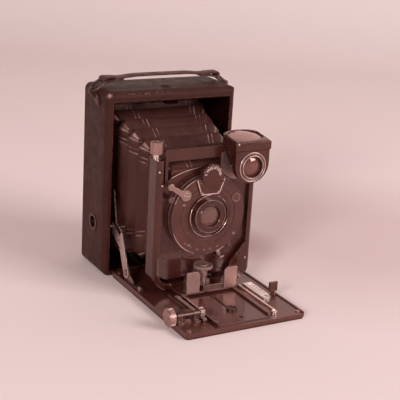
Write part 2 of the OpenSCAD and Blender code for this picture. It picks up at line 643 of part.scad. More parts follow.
module standard_frame() color([0.13, 0.06, 0.05]) from_front() difference() {
    union() {
        facing_front(-frame_back, frame_d) polygon(concat(
            arc(-frame_half + frame_corner, frame_z + frame_corner, frame_corner, 180, 270),
            arc(frame_half - frame_corner, frame_z + frame_corner, frame_corner, 270, 360),
            [[frame_half, right_leg_top], [inner_half, right_leg_top]],
            arc(inner_half - frame_inner_corner, frame_z + leg_t + frame_inner_corner,
                frame_inner_corner, 360, 270),
            arc(-inner_half + frame_inner_corner, frame_z + leg_t + frame_inner_corner,
                frame_inner_corner, 270, 180),
            [[-inner_half, left_leg_top], [-frame_half, left_leg_top]]));
        slab(-15, -frame_front, frame_z + leg_t - 0.3, 8, -frame_front + 1.5, rack_low + 3);
        translate([wheel_x - 4.5 * PI * shift_tooth, shift_r - shift_y, rack_low]) mirror([0, 1, 0])
            linear_extrude(3) polygon(rack_line(9, shift_tooth, shift_r - shift_y + frame_front - 0.3));
        facing_front(-frame_front, 1.2) polygon([[20, 13.5], [34, 13.5], [corner_plate_x, 19],
            [corner_plate_x, 38.5], [corner_plate_x - 1, 39.5], [33.5, 36], [24, 24]]);
        translate([32.5, -frame_front - 1.1, 29]) rotate([90, 0, 0]) screw_head(1.1, 0.6);
    }
    slab(-32, -frame_front - 1, frame_z - 1, 32, -frame_back + 1, base_top + slide_gap);
    both_sides() slab(inner_half - 1, -panel_front - slide_gap, panel_bottom + frame_inner_corner - 2.5,
        inner_half + groove, -panel_back + slide_gap, left_leg_top + 1);
    slab(-inner_half - 4.3, spindle_y - 1.6, lens_z, -inner_half + 1, spindle_y + 1.6, lens_z + 30);
    translate([spindle_x, spindle_y, lens_z]) cylinder(r = spindle_r + 0.05, h = 60);
    both_sides() edge_cutter();
}
// What the rounding of a leg's front edge takes away, running out in the lower corner
module edge_cutter() translate([-frame_half, -frame_front, frame_z - 1]) linear_extrude(left_leg_top)
    difference() {
    translate([-1, -0.9]) square(frame_edge + 0.9);
    translate([frame_edge - 0.05, frame_edge - 0.05]) circle(r = frame_edge);
}
module finder_bracket() color([0.8, 0.7, 0.67]) from_front() {
    difference() {
        facing_front(-panel_front, 1.2) polygon(concat([[12.2, 110.6], [12.2, 92], [30, 88.5], [41.4, 95]],
            arc(pivot_x, pivot_z, 3.2, -60, 120, 12), [[36, 111.2], [16, 111.2]]));
        on_lens_axis(panel_front - 1) cylinder(r = shutter_r + 2.6, h = 4);
    }
    translate([pivot_x, -panel_front - 1.1, pivot_z]) rotate([90, 0, 0]) cylinder(r = 1.5, h = 7.6);
    translate([pivot_x, -panel_front - 1.1, pivot_z]) rotate([90, 0, 0]) cylinder(r = 2.6, h = 1.8);
}
module lens_panel() color([0.08, 0.02, 0.02]) from_front() difference() {
    union() {
        facing_front(-panel_back, panel_t) polygon(concat(
            arc(inner_half - 9, panel_bottom + 8.9, 8.8, 270, 344.5, 6),
            [[panel_half, tongue_z]],
            [for (i = [0:30]) [panel_half * cos(6 * i), arch_z + (panel_arch_top - arch_z) * sin(6 * i)]],
            [[-panel_half, tongue_z]],
            arc(-inner_half + 9, panel_bottom + 8.9, 8.8, 195.5, 270, 6)));
        facing_front(-panel_back, panel_t) polygon([[stile_x, arch_z], [stile_x + 2.4, arch_z],
            [stile_x + 2.4, rail_bottom], [finder_x - finder_half - 1, rail_bottom],
            [finder_x - finder_half - 1, panel_rail_top], [stile_x, panel_rail_top]]);
        facing_front(-panel_back, panel_t) polygon([[12, 96], [finder_x - finder_half - 1, 96],
            [finder_x - finder_half - 1, rail_bottom + 1], [12, rail_bottom + 1]]);
        on_lens_axis(panel_front) cylinder(r = shutter_r + 2.5, h = boss_t);
        slab(-inner_half - 4.1, spindle_y - 1.45, lens_z + 2, -33, spindle_y + 1.45, lens_z + 7);
        slab(-inner_half + 0.2, -panel_back - 0.3, lens_z + 2, -33, spindle_y, lens_z + 7);
    }
    on_lens_axis(panel_back - 1) cylinder(r = rear_cell_r + 0.05, h = 12);
    translate([spindle_x, spindle_y, lens_z]) cylinder(r = spindle_r + 0.05, h = 20);
}
module at_face(x, z, front) translate([x, -front, z]) rotate([90, 0, 0]) children();
module shutter_housing() color([0.10, 0.04, 0.03]) from_front() difference() {
    union() {
        on_lens_axis(boss_front) cylinder(r = shutter_r, h = shutter_d);
        at_face(dial_x, dial_z, housing_front - 2.4) cylinder(r = dial_r - 0.6, h = 2.4);
        at_face(lever_x, lever_z, housing_front - 2.4) cylinder(r = 4.6, h = 2.4);
    }
    on_lens_axis(boss_front - 1) cylinder(r = rear_cell_r + 0.05, h = shutter_d + 2);
}
module shutter_face() color([0.17, 0.09, 0.08]) from_front() difference() {
    union() {
        on_lens_axis(housing_front) cylinder(r = face_r, h = face_t);
        at_face(dial_x, dial_z, housing_front) cylinder(r = dial_r - 0.6, h = face_t);
        at_face(lever_x, lever_z, housing_front) cylinder(r = 4.6, h = face_t);
    }
    on_lens_axis(housing_front - 1) cylinder(r = rear_cell_r + 0.05, h = face_t + 2);
    for (r = [18.5, 22.5]) on_lens_axis(face_front - 0.35) ring(r + 0.5, r, 1);
    for (x = plate_posts) at_face(x, post_z, face_front - 0.3) cylinder(r = 0.8, h = 1);
}
module dial_plate() color([0.12, 0.05, 0.04]) from_front() {
    facing_front(-face_front - 0.6, 0.8) difference() {
        polygon([[-11.5, lens_z + 28.6], [11.7, lens_z + 28.2], [7.4, lens_z + 17], [-7.4, lens_z + 17]]);
        translate([dial_x, dial_z]) circle(r = dial_r + 0.1);
    }
    for (x = plate_posts) at_face(x, post_z, face_front - 0.3) cylinder(r = 0.8, h = 1);
    for (x = plate_posts) at_face(x, post_z, face_front + 1.3) screw_head(1.1, 0.5);
}
module lens_barrel() color([0.10, 0.04, 0.03]) from_front() {
    front_cell();
    rear_cell();
}
module front_cell() on_lens_axis(face_front) difference() {
    union() {
        translate([0, 0, -shutter_d]) cylinder(r = rear_cell_r, h = shutter_d + 0.1);
        ring(bezel_r, rear_cell_r - 1, barrel_l - 2);
        cylinder(r = rear_cell_r + 0.2, h = barrel_l);
    }
    translate([0, 0, barrel_l - 2.9]) ring(bezel_r - 0.9, rear_cell_r + 0.2, 2);
    translate([0, 0, barrel_l - 0.5]) cylinder(r = rear_cell_r - 0.8, h = 1);
    translate([0, 0, barrel_l - 2.7]) cylinder(r = glass_r, h = 4);
    translate([0, 0, -shutter_d - 1]) cylinder(r = glass_r - 1, h = shutter_d + barrel_l);
}
module front_glass() color([0.6, 0.5, 0.5]) from_front() on_lens_axis(face_front)
    translate([0, 0, barrel_l - 2.7]) intersection() {
    cylinder(r = glass_r, h = 3);
    translate([0, 0, 1.9 - 26]) sphere(r = 26, $fn = 180);
}
module rear_cell() on_lens_axis(box_back + 2) {
    difference() {
        cylinder(r = rear_cell_r, h = housing_front - box_back - 1.9 - shutter_d + face_t);
        translate([0, 0, -1]) cylinder(r = rear_cell_r - 2.4, h = 40);
    }
    translate([0, 0, 1.5]) cylinder(r = rear_cell_r - 2.4, h = 2);
}
module iris_blades() color([0.2, 0.12, 0.11]) from_front() on_lens_axis(face_front - 1)
    linear_extrude(0.6) difference() {
    circle(r = glass_r - 1);
    circle(r = 3.4, $fn = 8);
}
module cable_socket() color([0.8, 0.7, 0.67]) from_front() difference() {
    union() {
        at_face(-31.4, lens_z + 15.2, housing_front - 2) {
            cylinder(r = 1.6, h = 2.2);
            translate([0, 0, 2.1]) linear_extrude(1.8) polygon(knurled(1.9, 2.2, 14));
        }
        facing_front(-housing_front + 2, 1.2)
            polygon([[-31.2, lens_z + 16.7], [-32, lens_z + 13.7], [-21, lens_z + 9],
                [-20.4, lens_z + 12.5]]);
    }
    on_lens_axis(housing_front - 4) cylinder(r = shutter_r, h = 6);
    at_face(lever_x, lever_z, housing_front - 4) cylinder(r = 4.6, h = 6);
}
module face_screws() color([0.8, 0.7, 0.67]) from_front() {
    for (p = [[-21.2, 10.3], [-15.5, -21.8], [23, -16.8]]) at_face(p[0], lens_z + p[1], face_front)
        screw_head(1.2, 0.5);
    at_face(23.3, lens_z + 11.6, face_front) difference() {
        cylinder(r = 3.5, h = 0.4);
        translate([0, 0, 0.2]) cylinder(r = 2.9, h = 1);
    }
    difference() {
        facing_front(-housing_front + 1.4, 1.4)
            polygon([[17, lens_z - 21], [20.5, lens_z - 21], [22.6, lens_z - 27.6], [19.8, lens_z - 28]]);
        on_lens_axis(housing_front - 4) cylinder(r = shutter_r, h = 6);
    }
}
module speed_dial() color([0.10, 0.04, 0.03]) from_front() at_face(dial_x, dial_z, face_front + 0.05)
    linear_extrude(dial_t) polygon(knurled(dial_r - 0.25, dial_r, 48));
module release_lever() color([0.85, 0.75, 0.72]) from_front() {
    facing_front(-face_front - 0.05, 1.6) union() {
        translate([lever_x, lever_z]) circle(r = 4);
        translate([lever_x - 12.6, lever_z + 7.6]) circle(r = 2.5);
        translate([lever_x, lever_z]) polygon([[-1.8, 3.4], [-13.6, 9.6], [-12, 5.4], [-3.8, -0.6]]);
    }
    at_face(lever_x, lever_z, face_front + 1.6) screw_head(2.2, 0.6);
    at_face(lever_x - 12.6, lever_z + 7.6, face_front + 1.6) cylinder(r = 1.9, h = 0.9);
}
module aperture_lever() color([0.8, 0.7, 0.67]) from_front() on_lens_axis(boss_front + 0.8) {
    ring(shutter_r + 1.4, shutter_r + 0.1, 1.2);
    rotate(-68) {
        translate([shutter_r + 0.8, -1.4, 0]) cube([7.2, 2.8, 1.2]);
        translate([shutter_r + 6.6, -1.8, 0]) cube([1.4, 3.6, 6]);
    }
}
module rise_knob() color([0.85, 0.75, 0.72]) from_front()
    translate([spindle_x, spindle_y, left_leg_top + 4]) difference() {
    linear_extrude(rise_knob_h) polygon(knurled(rise_knob_r - 0.4, rise_knob_r, 22));
    translate([0, 0, rise_knob_h - 2.5]) cylinder(r = rise_knob_r - 1.3, h = 3);
    translate([0, 0, -1]) cylinder(r = spindle_r, h = 5);
}
module rise_spindle() color([0.8, 0.7, 0.67]) from_front() {
    translate([spindle_x, spindle_y, lens_z + 0.1])
        cylinder(r = spindle_r, h = left_leg_top + 8 - lens_z - 0.1);
    translate([spindle_x, spindle_y, left_leg_top + 0.05]) ring(2.3, spindle_r, 3.95);
}
// The finder's side: thin behind its lens, then sloping back under the cap, where its mirror lies
finder_side = [[-finder_front, finder_z - 1], [-finder_front + finder_thin, finder_z - 1],
    [-finder_front + finder_thin, mirror_foot_z], [cap_back_y, finder_cap_z - 0.4],
    [cap_back_y, finder_cap_z], [-finder_front, finder_cap_z]];
module finder_body() color([0.13, 0.06, 0.05]) from_front() difference() {
    intersection() {
        facing_front(-40, finder_front - 40) polygon(concat(
            [[finder_x + finder_half, finder_cap_z], [finder_x - finder_half, finder_cap_z]],
            arc(finder_x, finder_z + finder_half, finder_half, 180, 360, 24)));
        facing_side(0, 60) polygon(finder_side);
    }
    translate([finder_x + 0.5, -finder_front + 3, finder_lens_z]) rotate([90, 0, 0])
        cylinder(r = finder_lens_r + 2.4, h = 4);
    translate([pivot_x, -finder_back + 1, pivot_z]) rotate([90, 0, 0]) cylinder(r = 1.55, h = 8.6);
}
module cap_outline(grow) polygon(concat([[finder_x - finder_half - 0.5 - grow, -finder_front - 0.4 - grow],
    [finder_x + finder_half + 0.5 + grow, -finder_front - 0.4 - grow]],
    [for (i = [0:20]) [finder_x + (finder_half + 0.5 + grow) * cos(i * 9), cap_back_y + (7.4 + grow)
        * sin(i * 9)]]));
module finder_cap() color([0.13, 0.06, 0.05]) from_front() difference() {
    union() {
        intersection() {
            translate([0, 0, finder_cap_z]) linear_extrude(14) cap_outline(0.2);
            on_cap() translate([-60, -120, -30]) cube([120, 120, 30]);
        }
        intersection() {
            translate([0, 0, finder_cap_z]) linear_extrude(14) cap_outline(-0.8);
            on_cap() translate([-60, -120, -1]) cube([120, 120, 1.8]);
        }
        translate([finder_x - finder_half - 0.9, -66, finder_cap_z + 2.6]) rotate([0, 90, 0])
            cylinder(r = 1, h = 2);
    }
    on_cap() translate([0, 0, -1.2]) linear_extrude(4) glass_outline(0.05);
}
// The sloping top of the finder's cap, its own origin over the front edge
module on_cap() translate([finder_x, -finder_front, finder_cap_z + 6]) rotate([cap_slope, 0, 0])
    translate([-finder_x, finder_front, 0]) children();
module glass_outline(grow) intersection() {
    translate([finder_x, -51]) circle(r = 18.2 + grow);
    translate([finder_x, -66]) circle(r = 17.8 + grow);
    translate([finder_x - 13.4 - grow, -80]) square([26.8 + 2 * grow, 60]);
}
module finder_top_glass() color([0.75, 0.62, 0.6]) from_front() intersection() {
    on_cap() translate([0, 0, -1.2]) linear_extrude(3) glass_outline(0);
    on_cap() translate([finder_x, -58.5, 1.6 - 46]) sphere(r = 46, $fn = 240);
}
module finder_trim() color([0.85, 0.75, 0.72]) from_front() {
    translate([finder_x + 0.5, -finder_front + 3, finder_lens_z]) rotate([90, 0, 0]) {
        ring(finder_lens_r + 2.4, finder_lens_r, 3);
        translate([0, 0, 3]) ring(finder_lens_r + 3.2, finder_lens_r + 2.1, 0.5);
        translate([0, 0, 3]) ring(finder_lens_r + 1, finder_lens_r, 1);
    }
    intersection() {
        facing_side(finder_x - finder_half - 1.6, finder_half + pivot_x - finder_x - 1)
            polygon([finder_side[2], finder_side[3], finder_side[3] + [0.5, -0.55], finder_side[2] + [0.5, -0.55]]);
        slab(0, -finder_front, 0, 60, -finder_back, case_h);
    }
}
module finder_lens() color([0.5, 0.4, 0.4]) from_front()
    translate([finder_x + 0.5, -finder_front + 3, finder_lens_z]) rotate([90, 0, 0]) intersection() {
    cylinder(r = finder_lens_r, h = 5);
    translate([0, 0, 3.4 - 16]) sphere(r = 16);
}
module bellows(y0, y1, n) {
    rings = 2 * n;
    outer = [for (k = [0:rings]) let (y = y0 + (y1 - y0) * k / rings)
        cut_ring(y, k % 2 == 1 ? pleat_depth : 0.6, k % 2 == 1 ? 6.5 : 1.6)];
    inner = [for (k = [0:rings]) let (y = y0 + (y1 - y0) * k / rings)
        cut_ring(y, (k % 2 == 1 ? pleat_depth : 0.6) - bellows_wall, k % 2 == 1 ? 6.2 : 1.4)];
    m = rings + 1;
    polyhedron(points = [for (r = concat(outer, inner), p = r) p],
        faces = concat(
            [for (k = [0:rings - 1], i = [0:7]) [k * 8 + i, k * 8 + (i + 1) % 8, (k + 1) * 8 + i]],
            [for (k = [0:rings - 1], i = [0:7]) [k * 8 + (i + 1) % 8, (k + 1) * 8 + (i + 1) % 8, (k + 1)
                * 8 + i]],
            [for (k = [m:m + rings - 1], i = [0:7]) [k * 8 + (i + 1) % 8, k * 8 + i, (k + 1) * 8 + i]],
            [for (k = [m:m + rings - 1], i = [0:7]) [k * 8 + (i + 1) % 8, (k + 1) * 8 + i, (k + 1)
                * 8 + (i + 1) % 8]],
            [for (i = [0:7]) [(i + 1) % 8, i, m * 8 + i]],
            [for (i = [0:7]) [(i + 1) % 8, m * 8 + i, m * 8 + (i + 1) % 8]],
            [for (i = [0:7]) [rings * 8 + i, rings * 8 + (i + 1) % 8, (m + rings) * 8 + i]],
            [for (i = [0:7]) [rings * 8 + (i + 1) % 8, (m + rings) * 8 + (i + 1) % 8, (m + rings)
                * 8 + i]]));
}
module bellows_rear() color([0.16, 0.09, 0.08]) from_front() bellows(bellows_mid, bellows_back, rear_pleats);
module bellows_front() color([0.16, 0.09, 0.08]) from_front() bellows(-box_back, bellows_mid, front_pleats);
module bellows_box() color([0.12, 0.05, 0.04]) from_front()
    facing_front(-box_back, panel_back - box_back) difference() {
    polygon([for (p = cut_ring(-box_back, 0.6, 1.6)) [p[0], p[2]]]);
    translate([0, lens_z]) square([2 * bellows_front_half - 14, 2 * bellows_front_rise - 14], center = true);
}
module screen_frame() color([0.3, 0.2, 0.18]) from_front() difference() {
    union() {
        slab(-screen_w / 2, screen_y, screen_z, screen_w / 2, screen_y + screen_t, screen_z + screen_h);
        slab(-screen_w / 2 + 3.5, screen_y, screen_z + 4, screen_w / 2 - 3.5, hood_y + hood_d,
            screen_z + screen_h - 4);
    }
    slab(-screen_w / 2 + 8, screen_y - 1, screen_z + 12, screen_w / 2 - 8, hood_y + hood_d + 1,
        screen_z + screen_h - 12);
    slab(-screen_w / 2 + 5.5, screen_y + 2.2, screen_z + 8, screen_w / 2 - 5.5, hood_y + hood_d + 1,
        screen_z + screen_h - 8);
    slab(-screen_w / 2 + 3, hood_y + hood_d - 1.6, screen_z + 3, screen_w / 2 - 3, hood_y + hood_d + 1,
        screen_z + screen_h - 3);
}
module ground_glass() color([0.8, 0.7, 0.68]) from_front()
    slab(-screen_w / 2 + 6, screen_y + 2.2, screen_z + 8.5, screen_w / 2 - 6, screen_y + 2.2 + glass_t,
        screen_z + screen_h - 8.5);
module hood_lid() color([0.22, 0.12, 0.11]) from_front() {
    y = hood_y + hood_d;
    slab(-screen_w / 2 + 3.6, y - 1.5, screen_z + 4.2, screen_w / 2 - 3.6, y, screen_z + screen_h - 6);
    translate([-screen_w / 2 + 3.6, y - 0.5, screen_z + screen_h - 5.6]) rotate([0, 90, 0])
        cylinder(r = 1, h = screen_w - 7.2);
    slab(-4, y - 0.1, screen_z + 6, 4, y + 1.2, screen_z + 9);
}
module lock_lever() color([0.12, 0.05, 0.04]) from_front() translate([45, -90, bed_floor]) {
    translate([0, 0, 0.05]) cylinder(r = 2.9, h = 1.6);
    translate([0, 0, 1.6]) cylinder(r = 1.4, h = 2);
    translate([-3.4, -1, 3.5]) cube([6.8, 2, 7.4]);
}

case_shell();
case_liner();
back_frame();
bed_plate();
bed_leather();
bed_hinge();
bed_screws();
case_rails();
guide_rails();
index_rail();
scale_plate();
strut_left();
strut_right();
strut_brackets();
pinion_bearing();
tripod_bushes();
handle_lugs();
catch_plate();
back_rails();
release_button();
handle_strap();
handle_rings();
track_plate();
track_rack();
stop_spring();
focus_knob();
focus_shaft();
standard_base();
cross_bar();
shift_wheel();
grip_left();
grip_right();
standard_frame();
finder_bracket();
lens_panel();
shutter_housing();
shutter_face();
dial_plate();
lens_barrel();
front_glass();
iris_blades();
cable_socket();
face_screws();
speed_dial();
release_lever();
aperture_lever();
rise_knob();
rise_spindle();
finder_body();
finder_cap();
finder_top_glass();
finder_trim();
finder_lens();
bellows_rear();
bellows_front();
bellows_box();
screen_frame();
ground_glass();
hood_lid();
lock_lever();
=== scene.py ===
"""Looks of the folding plate camera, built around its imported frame.

Lengths in this script are millimetres from the front of the case, as in the part's own source:
X to the right in the photograph, Y to the back, Z up from the table. at() turns them into the frame's metres.
Lamps and the height at which the case leather darkens are given in the frame's metres.
"""

import math
import random

import bpy
from mathutils import Matrix, Vector


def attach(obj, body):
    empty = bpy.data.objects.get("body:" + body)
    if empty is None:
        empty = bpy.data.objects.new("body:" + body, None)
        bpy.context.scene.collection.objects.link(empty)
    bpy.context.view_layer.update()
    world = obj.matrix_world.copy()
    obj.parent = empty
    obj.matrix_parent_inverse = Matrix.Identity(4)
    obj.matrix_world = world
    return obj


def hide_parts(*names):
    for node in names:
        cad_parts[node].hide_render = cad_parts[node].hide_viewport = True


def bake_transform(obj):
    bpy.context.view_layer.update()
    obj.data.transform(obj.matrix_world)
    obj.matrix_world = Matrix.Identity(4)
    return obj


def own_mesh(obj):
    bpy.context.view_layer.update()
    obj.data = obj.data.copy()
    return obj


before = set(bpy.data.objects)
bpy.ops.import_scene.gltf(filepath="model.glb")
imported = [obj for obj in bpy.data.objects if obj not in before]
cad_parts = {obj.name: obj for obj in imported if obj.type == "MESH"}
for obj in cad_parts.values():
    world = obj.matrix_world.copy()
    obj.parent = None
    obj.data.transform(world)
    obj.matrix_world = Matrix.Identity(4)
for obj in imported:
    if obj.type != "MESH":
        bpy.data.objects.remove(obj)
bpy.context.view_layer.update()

SETBACK = 34.0  # from the tripod bush, the frame's origin, back to the front of the case
LENS_Z = 65.0  # height of the lens axis
FACE_Y = -62.8  # front of the shutter's face plate
BARREL_L = 3.8  # length of the lens barrel before the face plate
BEZEL_R = 16.3  # outer radius of the lens bezel
GLASS_R = 8.6  # radius of the front glass
FACE_R = 30.8  # radius of the shutter's face plate, along its pale rim, partly rubbed and partly a painted highlight
DIAL = (1.1, 96.2)  # middle of the speed dial, x and z
DIAL_Y = -64.65  # front of the speed dial
BED_FLOOR = 4.2  # upper side of the baseboard inside its rim
FINDER_RING = (30.5, 102.0)  # middle of the finder lens, x and z

# Turn, height and roll of the photograph's view in degrees, and the camera's place in mm along its own
# right, up and back directions, from the table under the middle of the case's front
PHOTO_ANGLES = (-30.026, 17.96, 3.378)
PHOTO_PLACE = (27.926, 54.474, 835.7)
FOCAL_LENGTH = 1025.2 / 400  # as a share of the picture's width
SENSOR_W = 36


def at(x, y, z):
    """A point in the frame's metres."""
    return Vector((x, y + SETBACK, z)) / 1000


# Camera

def add_camera():
    """The photograph's view: from the left and above, with a long lens and a slight roll."""
    azimuth, elevation, roll = (math.radians(v) for v in PHOTO_ANGLES)
    back = Vector((math.sin(azimuth) * math.cos(elevation), -math.cos(azimuth) * math.cos(elevation),
                   math.sin(elevation)))
    level = Vector((math.cos(azimuth), math.sin(azimuth), 0))
    rise = back.cross(level)
    right = math.cos(roll) * level + math.sin(roll) * rise
    up = math.cos(roll) * rise - math.sin(roll) * level
    place = PHOTO_PLACE[0] * right + PHOTO_PLACE[1] * up + PHOTO_PLACE[2] * back
    data = bpy.data.cameras.new("photo_camera")
    data.sensor_width = SENSOR_W
    data.lens = SENSOR_W * FOCAL_LENGTH
    camera = bpy.data.objects.new("photo_camera", data)
    bpy.context.scene.collection.objects.link(camera)
    turn = Matrix((right, up, back)).transposed().to_4x4()
    camera.matrix_world = Matrix.Translation(at(*place)) @ turn
    bpy.context.scene.camera = camera


add_camera()


# Materials

SHEEN = (255, 206, 196)  # warm tint of the highlights on what isn't metal, as in the toned photograph
COAT_SHEEN = (255, 222, 215)


def linear(colour):
    """A colour written as 0 to 255 sRGB values, as shader values."""
    return [(c / 255 / 12.92 if c <= 10 else ((c / 255 + 0.055) / 1.055) ** 2.4) for c in colour] + [1.0]


class Finish:
    """A node material with one Principled surface, and short calls for the textures that feed it."""

    def __init__(self, name, colour, roughness=0.5, metallic=0.0, **sockets):
        self.material = bpy.data.materials.new(name)
        self.material.use_nodes = True
        self.tree = self.material.node_tree
        self.surface = self.tree.nodes["Principled BSDF"]
        self.colour = linear(colour)
        self.surface.inputs["Base Color"].default_value = self.colour
        self.surface.inputs["Roughness"].default_value = roughness
        self.surface.inputs["Metallic"].default_value = metallic
        if metallic == 0:
            self.surface.inputs["Specular Tint"].default_value = linear(SHEEN)
            self.surface.inputs["Coat Tint"].default_value = linear(COAT_SHEEN)
        for socket, value in sockets.items():
            self.surface.inputs[socket.replace("_", " ")].default_value = value
        self.place = self.node("ShaderNodeTexCoord").outputs["Object"]
        self.normal = None

    def node(self, kind, **settings):
        made = self.tree.nodes.new(kind)
        for name, value in settings.items():
            setattr(made, name, value)
        return made

    def link(self, source, target):
        self.tree.links.new(source, target)

    def stretched(self, scale):
        """Object coordinates in metres, scaled on each axis."""
        mapping = self.node("ShaderNodeMapping")
        mapping.inputs["Scale"].default_value = scale
        self.link(self.place, mapping.inputs["Vector"])
        return mapping.outputs["Vector"]

    def noise(self, per_metre, detail=3.0, stretch=None):
        made = self.node("ShaderNodeTexNoise")
        made.inputs["Scale"].default_value = per_metre
        made.inputs["Detail"].default_value = detail
        self.link(self.stretched(stretch) if stretch else self.place, made.inputs["Vector"])
        return made.outputs["Fac"]

    def cells(self, per_metre):
        """0 on the furrows between grain cells, rising into each cell."""
        made = self.node("ShaderNodeTexVoronoi", feature="DISTANCE_TO_EDGE")
        made.inputs["Scale"].default_value = per_metre
        self.link(self.place, made.inputs["Vector"])
        return made.outputs["Distance"]

    def between(self, value, low, high, out_low=0.0, out_high=1.0):
        """A value's range from low to high, spread over another range."""
        made = self.node("ShaderNodeMapRange")
        self.link(value, made.inputs["Value"])
        for name, number in (("From Min", low), ("From Max", high), ("To Min", out_low), ("To Max", out_high)):
            made.inputs[name].default_value = number
        return made.outputs["Result"]

    def maths(self, operation, a, b):
        made = self.node("ShaderNodeMath", operation=operation, use_clamp=True)
        for socket, value in zip(made.inputs, (a, b)):
            if isinstance(value, (int, float)):
                socket.default_value = value
            else:
                self.link(value, socket)
        return made.outputs["Value"]

    def tint(self, share, colour):
        """Mixes another colour in by a share that varies over the surface."""
        made = self.node("ShaderNodeMix", data_type="RGBA")
        self.link(share, made.inputs["Factor"])
        current = self.surface.inputs["Base Color"]
        if current.is_linked:
            self.link(current.links[0].from_socket, made.inputs["A"])
        else:
            made.inputs["A"].default_value = current.default_value
        made.inputs["B"].default_value = linear(colour)
        self.link(made.outputs["Result"], current)

    def vary(self, socket, value, low, high, out_low, out_high):
        self.link(self.between(value, low, high, out_low, out_high), self.surface.inputs[socket])

    def bump(self, height, depth_mm, strength=1.0):
        made = self.node("ShaderNodeBump")
        made.inputs["Strength"].default_value = strength
        made.inputs["Distance"].default_value = depth_mm / 1000
        self.link(height, made.inputs["Height"])
        if self.normal:
            self.link(self.normal, made.inputs["Normal"])
        self.normal = made.outputs["Normal"]
        self.link(self.normal, self.surface.inputs["Normal"])

    def soft_edges(self, radius_mm):
        """Rounds the look of sharp edges, so that they catch the light."""
        made = self.node("ShaderNodeBevel", samples=4)
        made.inputs["Radius"].default_value = radius_mm / 1000
        self.normal = made.outputs["Normal"]
        self.link(self.normal, self.surface.inputs["Normal"])

    def edge_share(self, radius_mm, low=0.02, high=0.25):
        """1 on sharp edges and 0 on flat faces."""
        rounded = self.node("ShaderNodeBevel", samples=6)
        rounded.inputs["Radius"].default_value = radius_mm / 1000
        true = self.node("ShaderNodeNewGeometry").outputs["Normal"]
        dot = self.node("ShaderNodeVectorMath", operation="DOT_PRODUCT")
        self.link(rounded.outputs["Normal"], dot.inputs[0])
        self.link(true, dot.inputs[1])
        return self.between(dot.outputs["Value"], 1 - low, 1 - high)

    def upper(self, high, low, most):
        """The full share at a height in metres, fading to 0 at a lower one."""
        parts = self.node("ShaderNodeSeparateXYZ")
        self.link(self.place, parts.inputs["Vector"])
        return self.between(parts.outputs["Z"], low, high, 0.0, most)

    def near(self, point, radius_mm, squash=(1, 1, 1)):
        """1 near a point and 0 beyond a radius."""
        offset = self.node("ShaderNodeVectorMath", operation="SUBTRACT")
        self.link(self.place, offset.inputs[0])
        offset.inputs[1].default_value = point
        scaled = self.node("ShaderNodeVectorMath", operation="MULTIPLY")
        self.link(offset.outputs[0], scaled.inputs[0])
        scaled.inputs[1].default_value = squash
        length = self.node("ShaderNodeVectorMath", operation="LENGTH")
        self.link(scaled.outputs[0], length.inputs[0])
        return self.between(length.outputs["Value"], radius_mm / 1000, 0.3 * radius_mm / 1000)


def leather(name, colour, lighter, grain=1000, depth=0.10, roughness=(0.42, 0.6), level=0.42):
    """Pebbled leather: grain cells, uneven colour and scuffed edges."""
    made = Finish(name, colour, roughness[0], Specular_IOR_Level=level)
    made.tint(made.between(made.noise(60, 5), 0.35, 0.75, 0.0, 0.55), lighter)
    scuffs = made.maths("MULTIPLY", made.edge_share(1.6), made.between(made.noise(220, 6), 0.45, 0.62))
    made.tint(scuffs, [min(255, c * 1.9) for c in lighter])
    made.vary("Roughness", made.noise(150, 3), 0.3, 0.7, *roughness)
    made.bump(made.between(made.cells(grain), 0.0, 0.16), depth)
    made.bump(made.noise(grain * 3, 2), depth * 0.4)
    return made


def case_leather():
    """Leather of the case, darker towards its top, with a painted highlight on an upper front corner, and
    rubbed along the front's top edge.
    """
    made = leather("case_leather", (50, 20, 15), (68, 34, 28), level=0.3)
    made.tint(made.upper(0.152, 0.05, 0.5), (44, 16, 12))
    # Painted highlight on the rounded upper front corner, broken up by noise.
    corner = made.near(at(-54.8, 1.0, 145.6), 3.6)
    made.tint(made.maths("MULTIPLY", corner, made.between(made.noise(420, 5), 0.35, 0.6)), (176, 136, 128))
    edge = made.near(at(-24, 1.4, 145.2), 30, (1, 9, 9))
    made.tint(made.maths("MULTIPLY", edge, made.between(made.noise(700, 4), 0.54, 0.7)), (126, 90, 84))
    return made.material


def bellows_leather():
    made = Finish("bellows_leather", (54, 26, 22), 0.42, Specular_IOR_Level=0.42)
    made.tint(made.between(made.noise(45, 4), 0.35, 0.75, 0.0, 0.6), (68, 38, 33))
    scuffs = made.maths("MULTIPLY", made.edge_share(1.0), made.between(made.noise(300, 5), 0.42, 0.6, 0.0, 0.7))
    made.tint(scuffs, (150, 112, 104))
    made.vary("Roughness", made.noise(120, 4), 0.3, 0.7, 0.27, 0.44)
    made.bump(made.noise(900, 4), 0.05)
    made.bump(made.cells(1500), 0.02)
    return made.material


def rubbed_and_highlight_leather():
    """Leather worn pale and lightened as a painted highlight, for the creases and corners of the bellows."""
    made = Finish("rubbed_and_highlight_leather", (66, 36, 31), 0.3, Specular_IOR_Level=0.5)
    made.tint(made.between(made.noise(110, 3), 0.42, 0.6), (148, 112, 105))
    made.bump(made.noise(900, 4), 0.04)
    return made.material


def strap_leather():
    made = leather("strap_leather", (50, 24, 20), (82, 50, 44), 1400, 0.05, (0.4, 0.55))
    made.bump(made.noise(260, 4, (3.0, 0.4, 1.0)), 0.22)
    return made.material


def lacquer(name, colour, roughness, worn=0.5, edge=0.35, uneven=1.0):
    """Black enamel: glossy, slightly uneven, with bright metal on the sharpest edges."""
    made = Finish(name, colour, roughness, Specular_IOR_Level=0.6, Coat_Weight=0.35, Coat_Roughness=0.06)
    made.tint(made.between(made.noise(70, 5), 0.4, 0.8, 0.0, 0.4), [c * 1.5 + 8 for c in colour])
    rub = made.maths("MULTIPLY", made.edge_share(edge), made.between(made.noise(500, 4), 0.5, 0.62, 0.0, worn))
    made.tint(rub, (198, 165, 156))
    made.vary("Roughness", made.noise(260, 5), 0.3, 0.7, roughness * (1 - 0.2 * uneven),
              roughness * (1 + 0.35 * uneven))
    made.soft_edges(edge)
    made.bump(made.noise(160, 2), 0.05 * uneven, 0.5)
    return made.material


